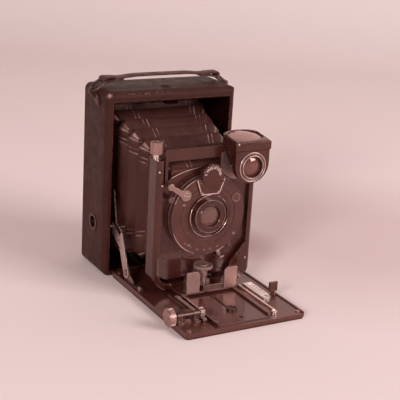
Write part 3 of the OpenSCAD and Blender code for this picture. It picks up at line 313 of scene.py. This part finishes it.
def nickel(name, colour, roughness, stain):
    """Plated metal with dull stains and fine marks."""
    made = Finish(name, colour, roughness, 1.0)
    made.tint(made.between(made.noise(340, 6), 0.48, 0.75, 0.0, stain), [c * 0.5 for c in colour])
    made.vary("Roughness", made.noise(420, 5), 0.3, 0.7, roughness * 0.7, roughness * 1.5)
    made.soft_edges(0.18)
    made.bump(made.noise(1500, 3), 0.012)
    return made.material


def toned_metal(name, colour, bright):
    """Dark plated metal that shines only on its edges."""
    roughness = 0.38
    made = Finish(name, colour, roughness, 0.8)
    made.tint(made.between(made.noise(260, 4), 0.4, 0.75, 0.0, 0.35), [c * 0.7 for c in colour])
    made.tint(made.edge_share(0.3, 0.01, 0.12), bright)
    made.vary("Roughness", made.noise(420, 4), 0.3, 0.7, roughness * 0.85, roughness * 1.25)
    made.soft_edges(0.2)
    made.bump(made.noise(1500, 3), 0.01)
    return made.material


def stained_wood():
    made = Finish("stained_wood", (46, 24, 21), 0.42)
    made.tint(made.between(made.noise(300, 6, (1, 1, 0.06)), 0.42, 0.68, 0.0, 0.6), (76, 46, 40))
    made.vary("Roughness", made.noise(200, 4), 0.3, 0.7, 0.34, 0.52)
    made.soft_edges(0.4)
    made.bump(made.noise(700, 4, (1, 1, 0.05)), 0.05)
    return made.material


def matt_black():
    made = Finish("matt_black", (24, 3, 2), 0.75, Specular_IOR_Level=0.06)
    made.tint(made.between(made.noise(150, 5), 0.45, 0.8, 0.0, 0.5), (30, 6, 4))
    made.vary("Roughness", made.noise(300, 3), 0.3, 0.7, 0.65, 0.85)
    made.bump(made.noise(1800, 2), 0.02)
    return made.material


def clear_glass(name, colour, roughness=0.02, transmission=0.7):
    made = Finish(name, colour, roughness, Transmission_Weight=transmission, IOR=1.55,
                  Specular_IOR_Level=0.9, Coat_Weight=0.6, Coat_Roughness=0.02)
    made.vary("Roughness", made.noise(90, 3), 0.4, 0.8, roughness, roughness * 2.5)
    return made.material


def ground_glass():
    made = Finish("matt_glass", (196, 182, 176), 0.5, Transmission_Weight=0.35, IOR=1.5)
    made.tint(made.between(made.noise(3000, 2), 0.4, 0.7, 0.0, 0.3), (160, 146, 140))
    made.bump(made.noise(6000, 2), 0.01)
    return made.material


def worn_edge_and_highlight():
    """Lacquer rubbed through to bright metal in patches; on the rims that use it, it is partly a painted
    highlight.
    """
    made = Finish("rubbed_edge_and_highlight", (52, 28, 25), 0.3)
    # Bright metal patches: rubbed lacquer, and a painted highlight on the rims that use this finish.
    patches = made.between(made.noise(75, 2), 0.44, 0.54)
    made.tint(patches, (232, 204, 196))
    made.link(patches, made.surface.inputs["Metallic"])
    made.bump(made.noise(1500, 2), 0.01)
    return made.material


def ink(name, colour):
    made = Finish(name, colour, 0.45)
    made.tint(made.between(made.noise(900, 4), 0.5, 0.72, 0.0, 0.75), [c * 0.55 for c in colour])
    return made.material


LEATHER = case_leather()
BELLOWS = bellows_leather()
RUBBED_AND_HIGHLIGHT_LEATHER = rubbed_and_highlight_leather()
STRAP = strap_leather()
LACQUER = lacquer("gloss_lacquer", (50, 22, 18), 0.15)
ENAMEL = lacquer("shutter_enamel", (60, 32, 29), 0.34, 0.3, 0.25, 0.5)
BED_PAINT = lacquer("bed_lacquer", (70, 37, 32), 0.28, 0.2, 0.25, 0.0)
PANEL_PAINT = lacquer("panel_lacquer", (50, 22, 18), 0.3, 0.3)
NICKEL = nickel("polished_nickel", (226, 198, 191), 0.3, 0.25)
WORN_NICKEL = nickel("worn_nickel", (184, 152, 145), 0.36, 0.35)
TONED = toned_metal("toned_metal", (104, 73, 68), (206, 176, 169))
KNOB_METAL = nickel("knob_metal", (176, 140, 133), 0.42, 0.2)
LEVER_METAL = toned_metal("lever_metal", (158, 124, 118), (224, 196, 189))
DARK_METAL = nickel("dark_metal", (112, 84, 78), 0.38, 0.6)
PLATE = nickel("scale_plate_nickel", (250, 234, 228), 0.42, 0.2)
WOOD = stained_wood()
MATT = matt_black()
GLASS = clear_glass("lens_glass", (150, 120, 114))
FINDER_GLASS = clear_glass("finder_glass", (92, 58, 54), 0.03, 0.1)
TOP_GLASS = clear_glass("finder_top_glass", (168, 134, 128), 0.05, 0.3)
MATT_GLASS = ground_glass()
BRIGHT_EDGE = worn_edge_and_highlight()
WHITE = ink("white_ink", (236, 212, 204))
PALE = ink("pale_ink", (150, 118, 110))
INK = ink("black_ink", (84, 52, 48))

FINISHES = {
    LEATHER: ["case_shell", "bed_leather", "hood_lid", "release_button"],
    MATT: ["catch_plate", "case_liner", "back_frame", "iris_blades"],
    BED_PAINT: ["bed_plate", "guide_rails", "track_plate", "lock_lever", "bellows_box", "standard_base"],
    PANEL_PAINT: ["lens_panel"],
    LACQUER: ["standard_frame", "dial_plate", "lens_barrel", "speed_dial", "finder_body", "finder_cap",
              "shutter_housing"],
    ENAMEL: ["shutter_face"],
    NICKEL: ["index_rail", "rise_spindle", "strut_left", "strut_right"],
    KNOB_METAL: ["focus_knob", "rise_knob", "bed_screws"],
    TONED: ["face_screws", "cable_socket", "finder_trim", "handle_rings", "pinion_bearing", "cross_bar"],
    LEVER_METAL: ["release_lever", "finder_bracket", "grip_left", "grip_right", "focus_shaft", "shift_wheel"],
    WORN_NICKEL: ["strut_brackets", "aperture_lever"],
    DARK_METAL: ["stop_spring", "track_rack", "tripod_bushes", "bed_hinge", "case_rails", "handle_lugs",
                 "back_rails"],
    WOOD: ["screen_frame"],
    GLASS: ["front_glass"],
    FINDER_GLASS: ["finder_lens"],
    TOP_GLASS: ["finder_top_glass"],
    MATT_GLASS: ["ground_glass"],
    PLATE: ["scale_plate"],
}
for finish, names in FINISHES.items():
    for name in names:
        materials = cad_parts[name].data.materials
        materials.clear()
        materials.append(finish)


# Building pieces

SHARP_ANGLE = math.radians(38)  # faces that meet at more than this keep a sharp edge


def piece(name, points, faces, finish, body, smooth=True):
    """A mesh from points in millimetres, riding on a body."""
    mesh = bpy.data.meshes.new(name)
    mesh.from_pydata([at(*p) for p in points], [], faces)
    mesh.materials.append(finish)
    if smooth:
        mesh.shade_smooth()
        mesh.set_sharp_from_angle(angle=SHARP_ANGLE)
    made = bpy.data.objects.new(name, mesh)
    bpy.context.scene.collection.objects.link(made)
    if body:
        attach(made, body)
    return made


def facing_front(y):
    """Places a shape drawn in its own x and y on the plane at y, its height towards the front."""
    return lambda u, v, w: (u, y - w, v)


def lying(z):
    """Places a shape drawn in x and y flat at a height."""
    return lambda u, v, w: (u, v, z + w)


def on_centre(place, cx, cy):
    """Moves a placed shape's own middle to a point of its plane."""
    return lambda u, v, w: place(cx + u, cy + v, w)


def revolved(name, profile, place, finish, body, sides):
    """A closed ring from a profile of (radius, height) pairs, turned about its own axis."""
    points = []
    faces = []
    for i in range(sides):
        turn = 2 * math.pi * i / sides
        for radius, height in profile:
            points.append(place(radius * math.cos(turn), radius * math.sin(turn), height))
    n = len(profile)
    for i in range(sides):
        j = (i + 1) % sides
        for k in range(n):
            m = (k + 1) % n
            faces.append((i * n + k, j * n + k, j * n + m, i * n + m))
    return piece(name, points, faces, finish, body)


def ring_profile(inner, outer, low, high, edge):
    """Section of a flat ring with broken edges."""
    return [(inner, low), (outer, low), (outer, high - edge), (outer - edge, high), (inner + edge, high),
            (inner, high - edge)]


HEAD_LEVELS = [(1.0, 0.0), (1.0, 0.45), (0.82, 0.85), (0.5, 1.0)]  # shares of a head's radius and height
HEAD_SIDES = 20


def screws(name, spots, radius, place, finish, body, height):
    """Round screw and rivet heads with a flat top, as one piece."""
    points = []
    faces = []
    for number, (x, y) in enumerate(spots):
        start = len(points)
        first_turn = math.radians(35 + 70 * number)
        for share, level in HEAD_LEVELS:
            for i in range(HEAD_SIDES):
                turn = first_turn + 2 * math.pi * i / HEAD_SIDES
                points.append(place(x + radius * share * math.cos(turn), y + radius * share * math.sin(turn),
                                    height * level))
        for row in range(len(HEAD_LEVELS) - 1):
            for i in range(HEAD_SIDES):
                j = (i + 1) % HEAD_SIDES
                a = start + row * HEAD_SIDES
                faces.append((a + i, a + j, a + HEAD_SIDES + j, a + HEAD_SIDES + i))
        faces.append(tuple(range(len(points) - HEAD_SIDES, len(points))))
    return piece(name, points, faces, finish, body)


NUMERAL_HEIGHT = 0.06


def numeral(text, size, centre, turn, place):
    """Points and faces of a raised number, its middle at centre, turned about it."""
    curve = bpy.data.curves.new("numeral", "FONT")
    curve.body = text
    curve.size = size
    curve.align_x = "CENTER"
    curve.align_y = "CENTER"
    curve.extrude = NUMERAL_HEIGHT / 2
    curve.resolution_u = 2
    holder = bpy.data.objects.new("numeral", curve)
    mesh = bpy.data.meshes.new_from_object(holder)
    points = []
    for vertex in mesh.vertices:
        x, y, z = vertex.co
        u = centre[0] + x * math.cos(turn) - y * math.sin(turn)
        v = centre[1] + x * math.sin(turn) + y * math.cos(turn)
        points.append(place(u, v, z + NUMERAL_HEIGHT / 2))
    faces = [tuple(p.vertices) for p in mesh.polygons]
    bpy.data.objects.remove(holder)
    bpy.data.curves.remove(curve)
    bpy.data.meshes.remove(mesh)
    return points, faces


def numerals(name, entries, place, finish, body):
    """Several numbers as one piece. Each entry is (text, size, centre, turn in degrees)."""
    points = []
    faces = []
    for text, size, centre, turn in entries:
        more, sides = numeral(text, size, centre, math.radians(turn), place)
        faces += [tuple(i + len(points) for i in f) for f in sides]
        points += more
    return piece(name, points, faces, finish, body, smooth=False)


def bars(name, entries, place, finish, body, height=0.05):
    """Thin marks as one piece. Each entry is (x0, y0, x1, y1, width)."""
    points = []
    faces = []
    for x0, y0, x1, y1, width in entries:
        along = Vector((x1 - x0, y1 - y0)).normalized()
        across = Vector((-along.y, along.x)) * width / 2
        corners = [(x0 + across.x, y0 + across.y), (x0 - across.x, y0 - across.y),
                   (x1 - across.x, y1 - across.y), (x1 + across.x, y1 + across.y)]
        s = len(points)
        points += [place(x, y, 0) for x, y in corners]
        points += [place(x, y, height) for x, y in corners]
        faces += [(s, s + 1, s + 2, s + 3), (s + 7, s + 6, s + 5, s + 4)]
        faces += [(s + i, s + (i + 1) % 4, s + 4 + (i + 1) % 4, s + 4 + i) for i in range(4)]
    return piece(name, points, faces, finish, body, smooth=False)


# Bellows

BELLOWS_BACK = 37.0  # rear end, on the frame in the case
BELLOWS_MID = 31.0  # where the stacked pleats end and the drawn out ones begin
BOX_BACK = -52.7  # front end, on the bellows' front plate
REAR_HALF, FRONT_HALF = 39.5, 27.0  # half widths in the valleys at both ends
REAR_RISE, FRONT_RISE = 55.5, 34.0  # half heights
REAR_MID_Z, FRONT_MID_Z = 70.0, 65.0  # heights of the middle
VALLEY_DEPTH = 0.6  # how far the leather stands off in a valley
PLEAT_DEPTH = 6.0  # and on a ridge
VALLEY_CUT, CUT_GROWTH = 1.6, 4.9  # size of a cut corner in a valley, and how much it grows to a ridge
WALL = 0.6
FOLD_ROWS = 8  # rows of faces in one fold, from valley to ridge


def taper(y, rear, front):
    """A size at y, between its values at both ends of the bellows."""
    return rear + (front - rear) * (BELLOWS_BACK - y) / (BELLOWS_BACK - BOX_BACK)


def fold_share(phase):
    """0 in a valley and 1 on a ridge, with slightly rounded folds."""
    sharp = 0.985
    return 0.5 - 0.5 * math.asin(sharp * math.cos(math.pi * phase)) / math.asin(sharp)


# Distances of the creases from the corners at both ends of a side, and their half width
RIGHT_CREASES = (6.2, 9.6)
LEFT_CREASES = (13.4, 16.8)
CREASE_HALF = 0.8
CARD_LIFT = 0.34  # how far a card stiffener raises the leather
CARD_EDGE = 1.2  # from a corner to the card's edge
CARD_FOLD = 0.10  # share of a fold that a card leaves free beside the crease, and over which it then rises
SAG = 0.5  # most that the leather between two corners draws in


def panel_lift(from_start, from_end, phase):
    """Raised stiffeners under the leather, with two creases near each corner."""
    part = phase % 1
    row = min(part, 1 - part)
    rows = max(0.0, min(1.0, (row - CARD_FOLD) / CARD_FOLD))
    crease = 1.0
    for distance, spots in ((from_start, RIGHT_CREASES), (from_end, LEFT_CREASES)):
        for spot in spots:
            crease = min(crease, abs(distance - spot) / CREASE_HALF)
    edge = max(0.0, min(1.0, min(from_start, from_end) - CARD_EDGE))
    return CARD_LIFT * rows * edge * crease


def bellows_ring(y, phase, inset, wobble):
    """Points around the bellows at y, where the eight corners are cut deeper on a ridge."""
    ridge = fold_share(phase)
    grow = VALLEY_DEPTH + (PLEAT_DEPTH - VALLEY_DEPTH) * ridge
    cut = VALLEY_CUT + CUT_GROWTH * ridge
    half = taper(y, REAR_HALF, FRONT_HALF) + grow - inset
    rise = taper(y, REAR_RISE, FRONT_RISE) + grow - inset
    mid = taper(y, REAR_MID_Z, FRONT_MID_Z)
    corners = [(half, -rise + cut), (half, rise - cut), (half - cut, rise), (-half + cut, rise),
               (-half, rise - cut), (-half, -rise + cut), (-half + cut, -rise), (half - cut, -rise)]
    points = []
    for k in range(8):
        x0, z0 = corners[k]
        x1, z1 = corners[(k + 1) % 8]
        length = math.hypot(x1 - x0, z1 - z0)
        is_side = k % 2 == 0
        outward = Vector((z1 - z0, -(x1 - x0))).normalized()
        outward *= -1 if outward.dot(Vector((x0 + x1, z0 + z1))) < 0 else 1
        stops = side_stops(length) if is_side else CORNER_STOPS
        for t in stops:
            lift = panel_lift(t * length, (1 - t) * length, phase) if is_side and inset == 0 else 0.0
            sag = SAG * math.sin(math.pi * t) * wobble[k] if is_side else 0.0
            push = lift - sag
            x = x0 + (x1 - x0) * t + outward.x * push
            points.append((x, y, mid + z0 + (z1 - z0) * t + outward.y * push))
    return points


def side_stops(length):
    """Places along a side, close together near the creases."""
    near = {}
    for creases in (RIGHT_CREASES, LEFT_CREASES):
        near[creases] = [0.0, CARD_EDGE, CARD_EDGE + 1]
        near[creases] += [c + d for c in creases for d in (-CREASE_HALF, 0.0, CREASE_HALF)]
    low = [d / length for d in near[RIGHT_CREASES]] + [0.24]
    high = [1 - d / length for d in near[LEFT_CREASES]]
    return low + [0.33, 0.42, 0.5, 0.58] + high[::-1]


SIDE_POINTS = 23  # points along a side, as side_stops gives them
CORNER_STOPS = [0, 0.34, 0.67]  # places along a cut corner
CREASE_STRIPS = (4, 7, 15, 18)  # strips of a side that lie in its creases


def face_is_rubbed_and_highlit(k, row):
    """The leather is pale in the creases and on the corners between two folds, partly rubbed and partly a
    painted highlight.
    """
    k %= SIDE_POINTS + len(CORNER_STOPS)
    if k < SIDE_POINTS:
        return k in CREASE_STRIPS and 1 <= row <= 6
    return k == SIDE_POINTS + 1 and 2 <= row <= 6


def bellows(name, y0, y1, pleats, node):
    """A closed folded shell between two places on the lens axis."""
    steps = 2 * pleats * FOLD_ROWS
    draw = random.Random(pleats)
    wobbles = [[draw.uniform(0.2, 1.0) for _ in range(8)] for _ in range(2 * pleats + 1)]
    shells = []
    for inset in (0.0, WALL):
        for i in range(steps + 1):
            phase = i / FOLD_ROWS
            k = min(int(phase), 2 * pleats - 1)
            share = phase - k
            wobble = [(1 - share) * a + share * b for a, b in zip(wobbles[k], wobbles[k + 1])]
            shells.append(bellows_ring(y0 + (y1 - y0) * i / steps, phase, inset, wobble))
    n = len(shells[0])
    rings = steps + 1
    faces = []
    for shell, flip in ((0, False), (rings, True)):
        for i in range(steps):
            for k in range(n):
                m = (k + 1) % n
                a = (shell + i) * n
                quad = (a + k, a + m, a + n + m, a + n + k)
                faces.append(quad[::-1] if flip else quad)
    for end in (0, steps):
        for k in range(n):
            m = (k + 1) % n
            quad = (end * n + m, end * n + k, (rings + end) * n + k, (rings + end) * n + m)
            faces.append(quad if end == 0 else quad[::-1])
    made = piece(name, [p for shell in shells for p in shell], faces, BELLOWS, None)
    # The creases and corner facets take the pale leather: partly wear, partly painted highlight.
    made.data.materials.append(RUBBED_AND_HIGHLIGHT_LEATHER)
    for face in list(made.data.polygons)[:steps * n]:
        row, k = divmod(face.index, n)
        if face_is_rubbed_and_highlit(k, row % FOLD_ROWS):
            face.material_index = 1
    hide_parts(node)
    return made


front_folds = bellows("bellows_front_folds", BOX_BACK, BELLOWS_MID, 6, "bellows_front")
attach(front_folds, "track")
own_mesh(front_folds)
rear_folds = bellows("bellows_rear_folds", BELLOWS_MID, BELLOWS_BACK, 3, "bellows_rear")
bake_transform(rear_folds)


# Handle

RING_R = 6.4  # of the wire rings that hold the strap
RING_TILT = math.radians(39)
LUG_X, LUG_Z = 58.9, 144.5  # where a ring hangs in its lug
LOOP_X = LUG_X - 2 * RING_R * math.cos(RING_TILT)
LOOP_Z = LUG_Z + 2 * RING_R * math.sin(RING_TILT)
WIRE_GAP = 1.15  # from the middle of a ring's wire to the leather
HANDLE_Y = 24.0
STRAP_T = 1.5
STRAP_W = 9.0
TAIL_L, TAIL_NEAR = 15, 4  # far and near end of a tail under the strap, from the middle of the loop


def strap_path():
    """Middle line of the strap in x and z: a tail under each end, a loop round each ring, and the top run."""
    loop = WIRE_GAP + STRAP_T / 2
    half = []
    for i in range(7):
        t = i / 6
        x = LOOP_X - TAIL_L + (TAIL_L - TAIL_NEAR) * t
        half.append((x, LOOP_Z + loop - STRAP_T * 1.06 - 0.2 - 1.0 * t ** 2))
    for i in range(13):
        turn = math.radians(-110 + 200 * i / 12)
        half.append((LOOP_X + loop * math.cos(turn), LOOP_Z + loop * math.sin(turn)))
    top = []
    for i in range(1, 24):
        t = 1 - 2 * i / 24
        # A slight dip where the tails end under the strap
        dent = 0.9 * math.exp(-((abs(t) - 0.72) / 0.14) ** 2)
        top.append((LOOP_X * t, LOOP_Z + loop + 0.5 * (1 - t * t) - dent))
    return half + top + [(-x, z) for x, z in reversed(half)]


def strap_section():
    """Half widths and half thicknesses around the strap, slightly crowned, with pressed edges."""
    w = STRAP_W / 2
    t = STRAP_T / 2
    return [(-w, -0.35 * t), (-w + 0.35, -0.9 * t), (-w + 1.3, -t), (0, -1.02 * t), (w - 1.3, -t),
            (w - 0.35, -0.9 * t), (w, -0.35 * t), (w, 0.35 * t), (w - 0.35, 0.9 * t), (w - 1.0, 0.82 * t),
            (w - 1.6, 1.08 * t), (0, 1.2 * t), (-w + 1.6, 1.08 * t), (-w + 1.0, 0.82 * t),
            (-w + 0.35, 0.9 * t), (-w, 0.35 * t)]


def add_strap():
    """The strap's section drawn along its path, with a slight wave in its edges."""
    path = strap_path()
    section = strap_section()
    n = len(section)
    points = []
    for i, (x, z) in enumerate(path):
        x1, z1 = path[min(i + 1, len(path) - 1)]
        x0, z0 = path[max(i - 1, 0)]
        along = Vector((x1 - x0, z1 - z0)).normalized()
        out = Vector((along.y, -along.x))
        for across, lift in section:
            wave = 0.12 * math.sin(i * 1.7 + across)
            points.append((x + out.x * lift, HANDLE_Y + across + wave * 0.6, z + out.y * lift))
    faces = []
    for i in range(len(path) - 1):
        for k in range(n):
            m = (k + 1) % n
            faces.append((i * n + k, (i + 1) * n + k, (i + 1) * n + m, i * n + m))
    faces.append(tuple(range(n)))
    faces.append(tuple(range((len(path) - 1) * n, len(path) * n))[::-1])
    strap = piece("handle_strap_leather", points, faces, STRAP, "handle")
    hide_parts("handle_strap")


add_strap()


# Shutter and lens

def add_lens():
    """Worn rims of the lens barrel and the ring that holds the front glass; the bezel's pale rim is partly wear
    and partly a painted highlight.
    """
    axis = on_centre(facing_front(FACE_Y), 0, LENS_Z)
    rim = BARREL_L - 2
    bezel = ring_profile(BEZEL_R - 0.35, BEZEL_R + 0.1, rim - 0.4, rim + 0.06, 0.1)
    cell = ring_profile(12.4, 12.9, BARREL_L - 0.3, BARREL_L + 0.05, 0.1)
    retainer = ring_profile(GLASS_R - 0.35, GLASS_R + 0.7, BARREL_L - 1.2, BARREL_L - 0.1, 0.2)
    # The bezel's rim: partly rubbed lacquer, partly painted highlight.
    revolved("bezel_edge", bezel, axis, BRIGHT_EDGE, "panel", 96)
    revolved("lens_cell_edge", cell, axis, TONED, "panel", 96)
    revolved("lens_retaining_ring", retainer, axis, LACQUER, "panel", 96)


add_lens()


SPEEDS = ["5", "10", "25", "50", "75", "100"]
SPEED_START, SPEED_SWEEP = 170, 152  # degrees: where the first number stands, and from there back to the last
APERTURES = ["6.3", "9", "12", "18", "25", "36"]
APERTURE_START, APERTURE_SWEEP = 228, 62
APERTURE_R = 27.4  # radius on which the aperture numbers stand


def around(middle, radius, angle):
    """A point at an angle in degrees around a middle."""
    turn = math.radians(angle)
    return middle[0] + radius * math.cos(turn), middle[1] + radius * math.sin(turn)


def add_shutter_marks():
    """Plain numbers and ticks on the speed dial, and plain numbers on the aperture scale."""
    gaps = len(SPEEDS) - 1
    entries = []
    for i, text in enumerate(SPEEDS):
        angle = SPEED_START - SPEED_SWEEP * i / gaps
        entries.append((text, 2.9, around(DIAL, 6.0, angle), angle - 90))
    ticks = []
    for i in range(gaps):
        angle = SPEED_START - SPEED_SWEEP * (i + 0.5) / gaps
        ticks.append((*around(DIAL, 7.6, angle), *around(DIAL, 8.3, angle), 0.35))
    numerals("speed_numbers", entries, facing_front(DIAL_Y), WHITE, "dial")
    bars("speed_ticks", ticks, facing_front(DIAL_Y), WHITE, "dial")
    entries = []
    for i, text in enumerate(APERTURES):
        angle = APERTURE_START + APERTURE_SWEEP * i / (len(APERTURES) - 1)
        entries.append((text, 2.2, around((0, LENS_Z), APERTURE_R, angle), angle + 90))
    numerals("aperture_numbers", entries, facing_front(FACE_Y), PALE, "panel")


add_shutter_marks()


def arc_marks(across, up, cx, cz, low, high, width, steps=30):
    """Short bars along an elliptic arc, to be drawn as one line."""
    spots = []
    for i in range(steps + 1):
        turn = math.radians(low + (high - low) * i / steps)
        spots.append((cx + across * math.cos(turn), cz + up * math.sin(turn)))
    return [(*a, *b, width) for a, b in zip(spots, spots[1:])]


def add_rubbed_and_highlight_edges():
    """Pale edges of the arched lens panel and of the face plate, partly rubbed lacquer and partly a painted
    highlight.
    """
    for name, arc, y in (
            ("panel_arch_edge", arc_marks(38.3, 18.8, 0, 82, 150, 93, 0.45), -55.9),
            ("face_edge_upper", arc_marks(FACE_R, FACE_R, 0, LENS_Z, 112, 158, 0.4), FACE_Y),
            ("face_edge_lower", arc_marks(FACE_R, FACE_R, 0, LENS_Z, 200, 300, 0.35), FACE_Y)):
        # Pale arcs along the edges: partly wear, partly painted highlight.
        bars(name, arc, facing_front(y), BRIGHT_EDGE, "panel")


add_rubbed_and_highlight_edges()


def add_dial_plate_edge():
    """Bright rim along the lower edges of the plate under the speed dial, and bright patches on its corners."""
    y = FACE_Y - 1.4
    outline = [(-11.5, 93.6), (-7.4, 82.0), (7.4, 82.0), (11.7, 93.2)]
    entries = [(*outline[i], *outline[i + 1], 0.8) for i in range(3)]
    bars("dial_plate_edge", entries, facing_front(y + 0.55), NICKEL, "panel", 0.7)
    corners = [(-7.6, 81.9), (-4.8, 82.2), (-8.4, 84.7)], [(7.6, 81.9), (4.8, 82.2), (8.4, 84.7)]
    points = []
    faces = []
    for triangle in corners:
        s = len(points)
        points += [(x, y + 0.3, z) for x, z in triangle]
        points += [(x, y - 0.15, z) for x, z in triangle]
        faces += [(s, s + 1, s + 2), (s + 5, s + 4, s + 3)]
        faces += [(s + i, s + 3 + i, s + 3 + (i + 1) % 3, s + (i + 1) % 3) for i in range(3)]
    piece("dial_plate_corners", points, faces, NICKEL, "panel", smooth=False)


add_dial_plate_edge()


# Small fastenings

def add_frame_rivets():
    """Heads on the front of the U shaped frame. Each row is name, x, y, z and height of the head."""
    for name, x, y, z, height in (
            ("frame_rivet_upper", -40.2, -58.5, 100.8, 0.8),
            ("frame_rivet_lower", -37.9, -59.0, 90.4, 0.6),
            ("corner_plate_rivet", 36.6, -60.2, 25.3, 0.6)):
        screws(name, [(x, z)], 0.8, facing_front(y), NICKEL, "frame", height)


def add_finder_trim():
    """Painted shade along the seam of the finder's cap, the cap's screw, and the bright edges of its lens ring.
    """
    # A thin matt black bar as painted shade along the cap's lower edge.
    seam = [(15.8, 114.7, 44.3, 114.7, 0.6)]
    bars("finder_cap_seam_shade", seam, facing_front(-71.52), MATT, "finder", 0.06)
    screws("finder_cap_screw", [(17.3, 120.2)], 0.75, facing_front(-71.9), NICKEL, "finder", 0.4)
    for name, inner, outer, y in (
            ("finder_ring_inner_edge", 8.6, 9.05, -72.5),
            ("finder_ring_outer_edge", 10.7, 11.25, -72.0)):
        profile = ring_profile(inner, outer, -0.3, 0.05, 0.1)
        revolved(name, profile, on_centre(facing_front(y), *FINDER_RING), NICKEL, "finder", 72)


def add_bed_fastenings():
    """Bright edge of the track and the screws of the rails beside it."""
    bars("track_edge_line", [(-22.75, -121, -22.75, -4, 0.5)], lying(6.8), NICKEL, "track", 0.04)
    guide = [(23.2, -20), (23.2, -60), (23.2, -100)]
    index = [(26, -75), (26, -108)]
    screws("guide_rail_screws", guide, 0.55, lying(BED_FLOOR + 1), WORN_NICKEL, "case", 0.25)
    screws("index_rail_screws", index, 0.6, lying(BED_FLOOR + 0.8), WORN_NICKEL, "case", 0.25)


add_frame_rivets()
add_finder_trim()
add_bed_fastenings()


def add_distance_scale():
    """Marks and numbers on the plate beside the track."""
    top = lying(BED_FLOOR + 1.8)
    marks = []
    entries = []
    for i in range(11):
        y = -88.0 + 1.7 * i
        marks.append((34.4, y, 36.4 if i % 2 else 37.4, y, 0.16))
    for i, text in enumerate(["1", "2", "3", "5", "8"]):
        entries.append((text, 2.3, (39.3, -87.2 + 3.4 * i + 0.3), 90))
    bars("distance_marks", marks, top, INK, "case", 0.03)
    numerals("distance_numbers", entries, top, INK, "case")


add_distance_scale()


# Floor and light

SWEEP_FRONT, SWEEP_BEND, SWEEP_TOP = -1500, 900, 2200  # ends of the paper and the start of its curve
SWEEP_RADIUS = 500
SWEEP_HALF = 2200  # half its width
SWEEP_TURN = math.radians(-30)  # so that the wall stands behind the object in the photograph's view


def add_floor():
    """A pale paper sweep: floor, curve and wall in one sheet.

    Its tones are painted: a pool of light around the object, shade in a wide area on the right, and a soft
    shadow beside the case, which stand in for uneven light on the floor and the object's weak shadow.
    """
    made = Finish("paper_sweep", (227, 212, 209), 0.9, Specular_IOR_Level=0.1)
    # Painted pool of light around the object.
    made.tint(made.near(at(0, 0, 0), 1100), (245, 225, 223))
    made.tint(made.between(made.noise(3, 2), 0.3, 0.8, 0.0, 0.2), (236, 215, 213))
    # Painted shade over a wide area to the right.
    made.tint(made.near(at(200, 0, 0), 210), (226, 201, 199))
    # Painted shadow beside the case.
    made.tint(made.near(at(84, 30, 0), 42, (1, 0.8, 1)), (206, 176, 173))
    section = [(SWEEP_FRONT, 0)]
    for bend in range(0, 91, 6):
        angle = math.radians(bend)
        y = SWEEP_BEND + SWEEP_RADIUS * math.sin(angle)
        section.append((y, SWEEP_RADIUS - SWEEP_RADIUS * math.cos(angle)))
    section.append((SWEEP_BEND + SWEEP_RADIUS, SWEEP_TOP))
    across, along = math.cos(SWEEP_TURN), math.sin(SWEEP_TURN)
    points = []
    for side in (-SWEEP_HALF, SWEEP_HALF):
        for y, z in section:
            points.append((side * across - y * along, side * along + y * across, z))
    n = len(section)
    mesh = bpy.data.meshes.new("paper_sweep")
    mesh.from_pydata([at(*p) for p in points], [], [(i, n + i, n + i + 1, i + 1) for i in range(n - 1)])
    mesh.materials.append(made.material)
    mesh.shade_smooth()
    floor = bpy.data.objects.new("paper_sweep", mesh)
    bpy.context.scene.collection.objects.link(floor)


LAMP_COLOUR = (255, 250, 249)
LAMP_TARGET = Vector((0, 0, 0.06))  # the middle of the object


def add_lamp(name, place, power, width, height):
    """A rectangular lamp that faces the object, in metres and watts."""
    data = bpy.data.lights.new(name, "AREA")
    data.shape = "RECTANGLE"
    data.size = width
    data.size_y = height
    data.energy = power
    data.color = linear(LAMP_COLOUR)[:3]
    lamp = bpy.data.objects.new(name, data)
    bpy.context.scene.collection.objects.link(lamp)
    direction = (LAMP_TARGET - Vector(place)).normalized()
    facing = direction.to_track_quat("-Z", "Y").to_matrix().to_4x4()
    lamp.matrix_world = Matrix.Translation(Vector(place)) @ facing


def add_light():
    """A wide low light from the right, a second one from the left, and a studio that is dim overhead."""
    world = bpy.data.worlds.new("studio")
    bpy.context.scene.world = world
    world.use_nodes = True
    nodes = world.node_tree.nodes
    links = world.node_tree.links
    background = nodes["Background"]
    background.inputs["Color"].default_value = linear((238, 226, 224))
    direction = nodes.new("ShaderNodeTexCoord").outputs["Generated"]
    parts = nodes.new("ShaderNodeSeparateXYZ")
    links.new(direction, parts.inputs["Vector"])
    strength = nodes.new("ShaderNodeMapRange")
    links.new(parts.outputs["Z"], strength.inputs["Value"])
    for name, number in (("From Min", 0.0), ("From Max", 0.7), ("To Min", 0.75), ("To Max", 0.3)):
        strength.inputs[name].default_value = number
    links.new(strength.outputs["Result"], background.inputs["Strength"])
    add_lamp("key_light", (1.76, -2.4, 1.52), 79, 1.76, 1.44)
    add_lamp("left_light", (-2.4, -1.92, 1.2), 59, 0.96, 0.8)


add_floor()
add_light()
bpy.context.scene.view_settings.view_transform = "Standard"
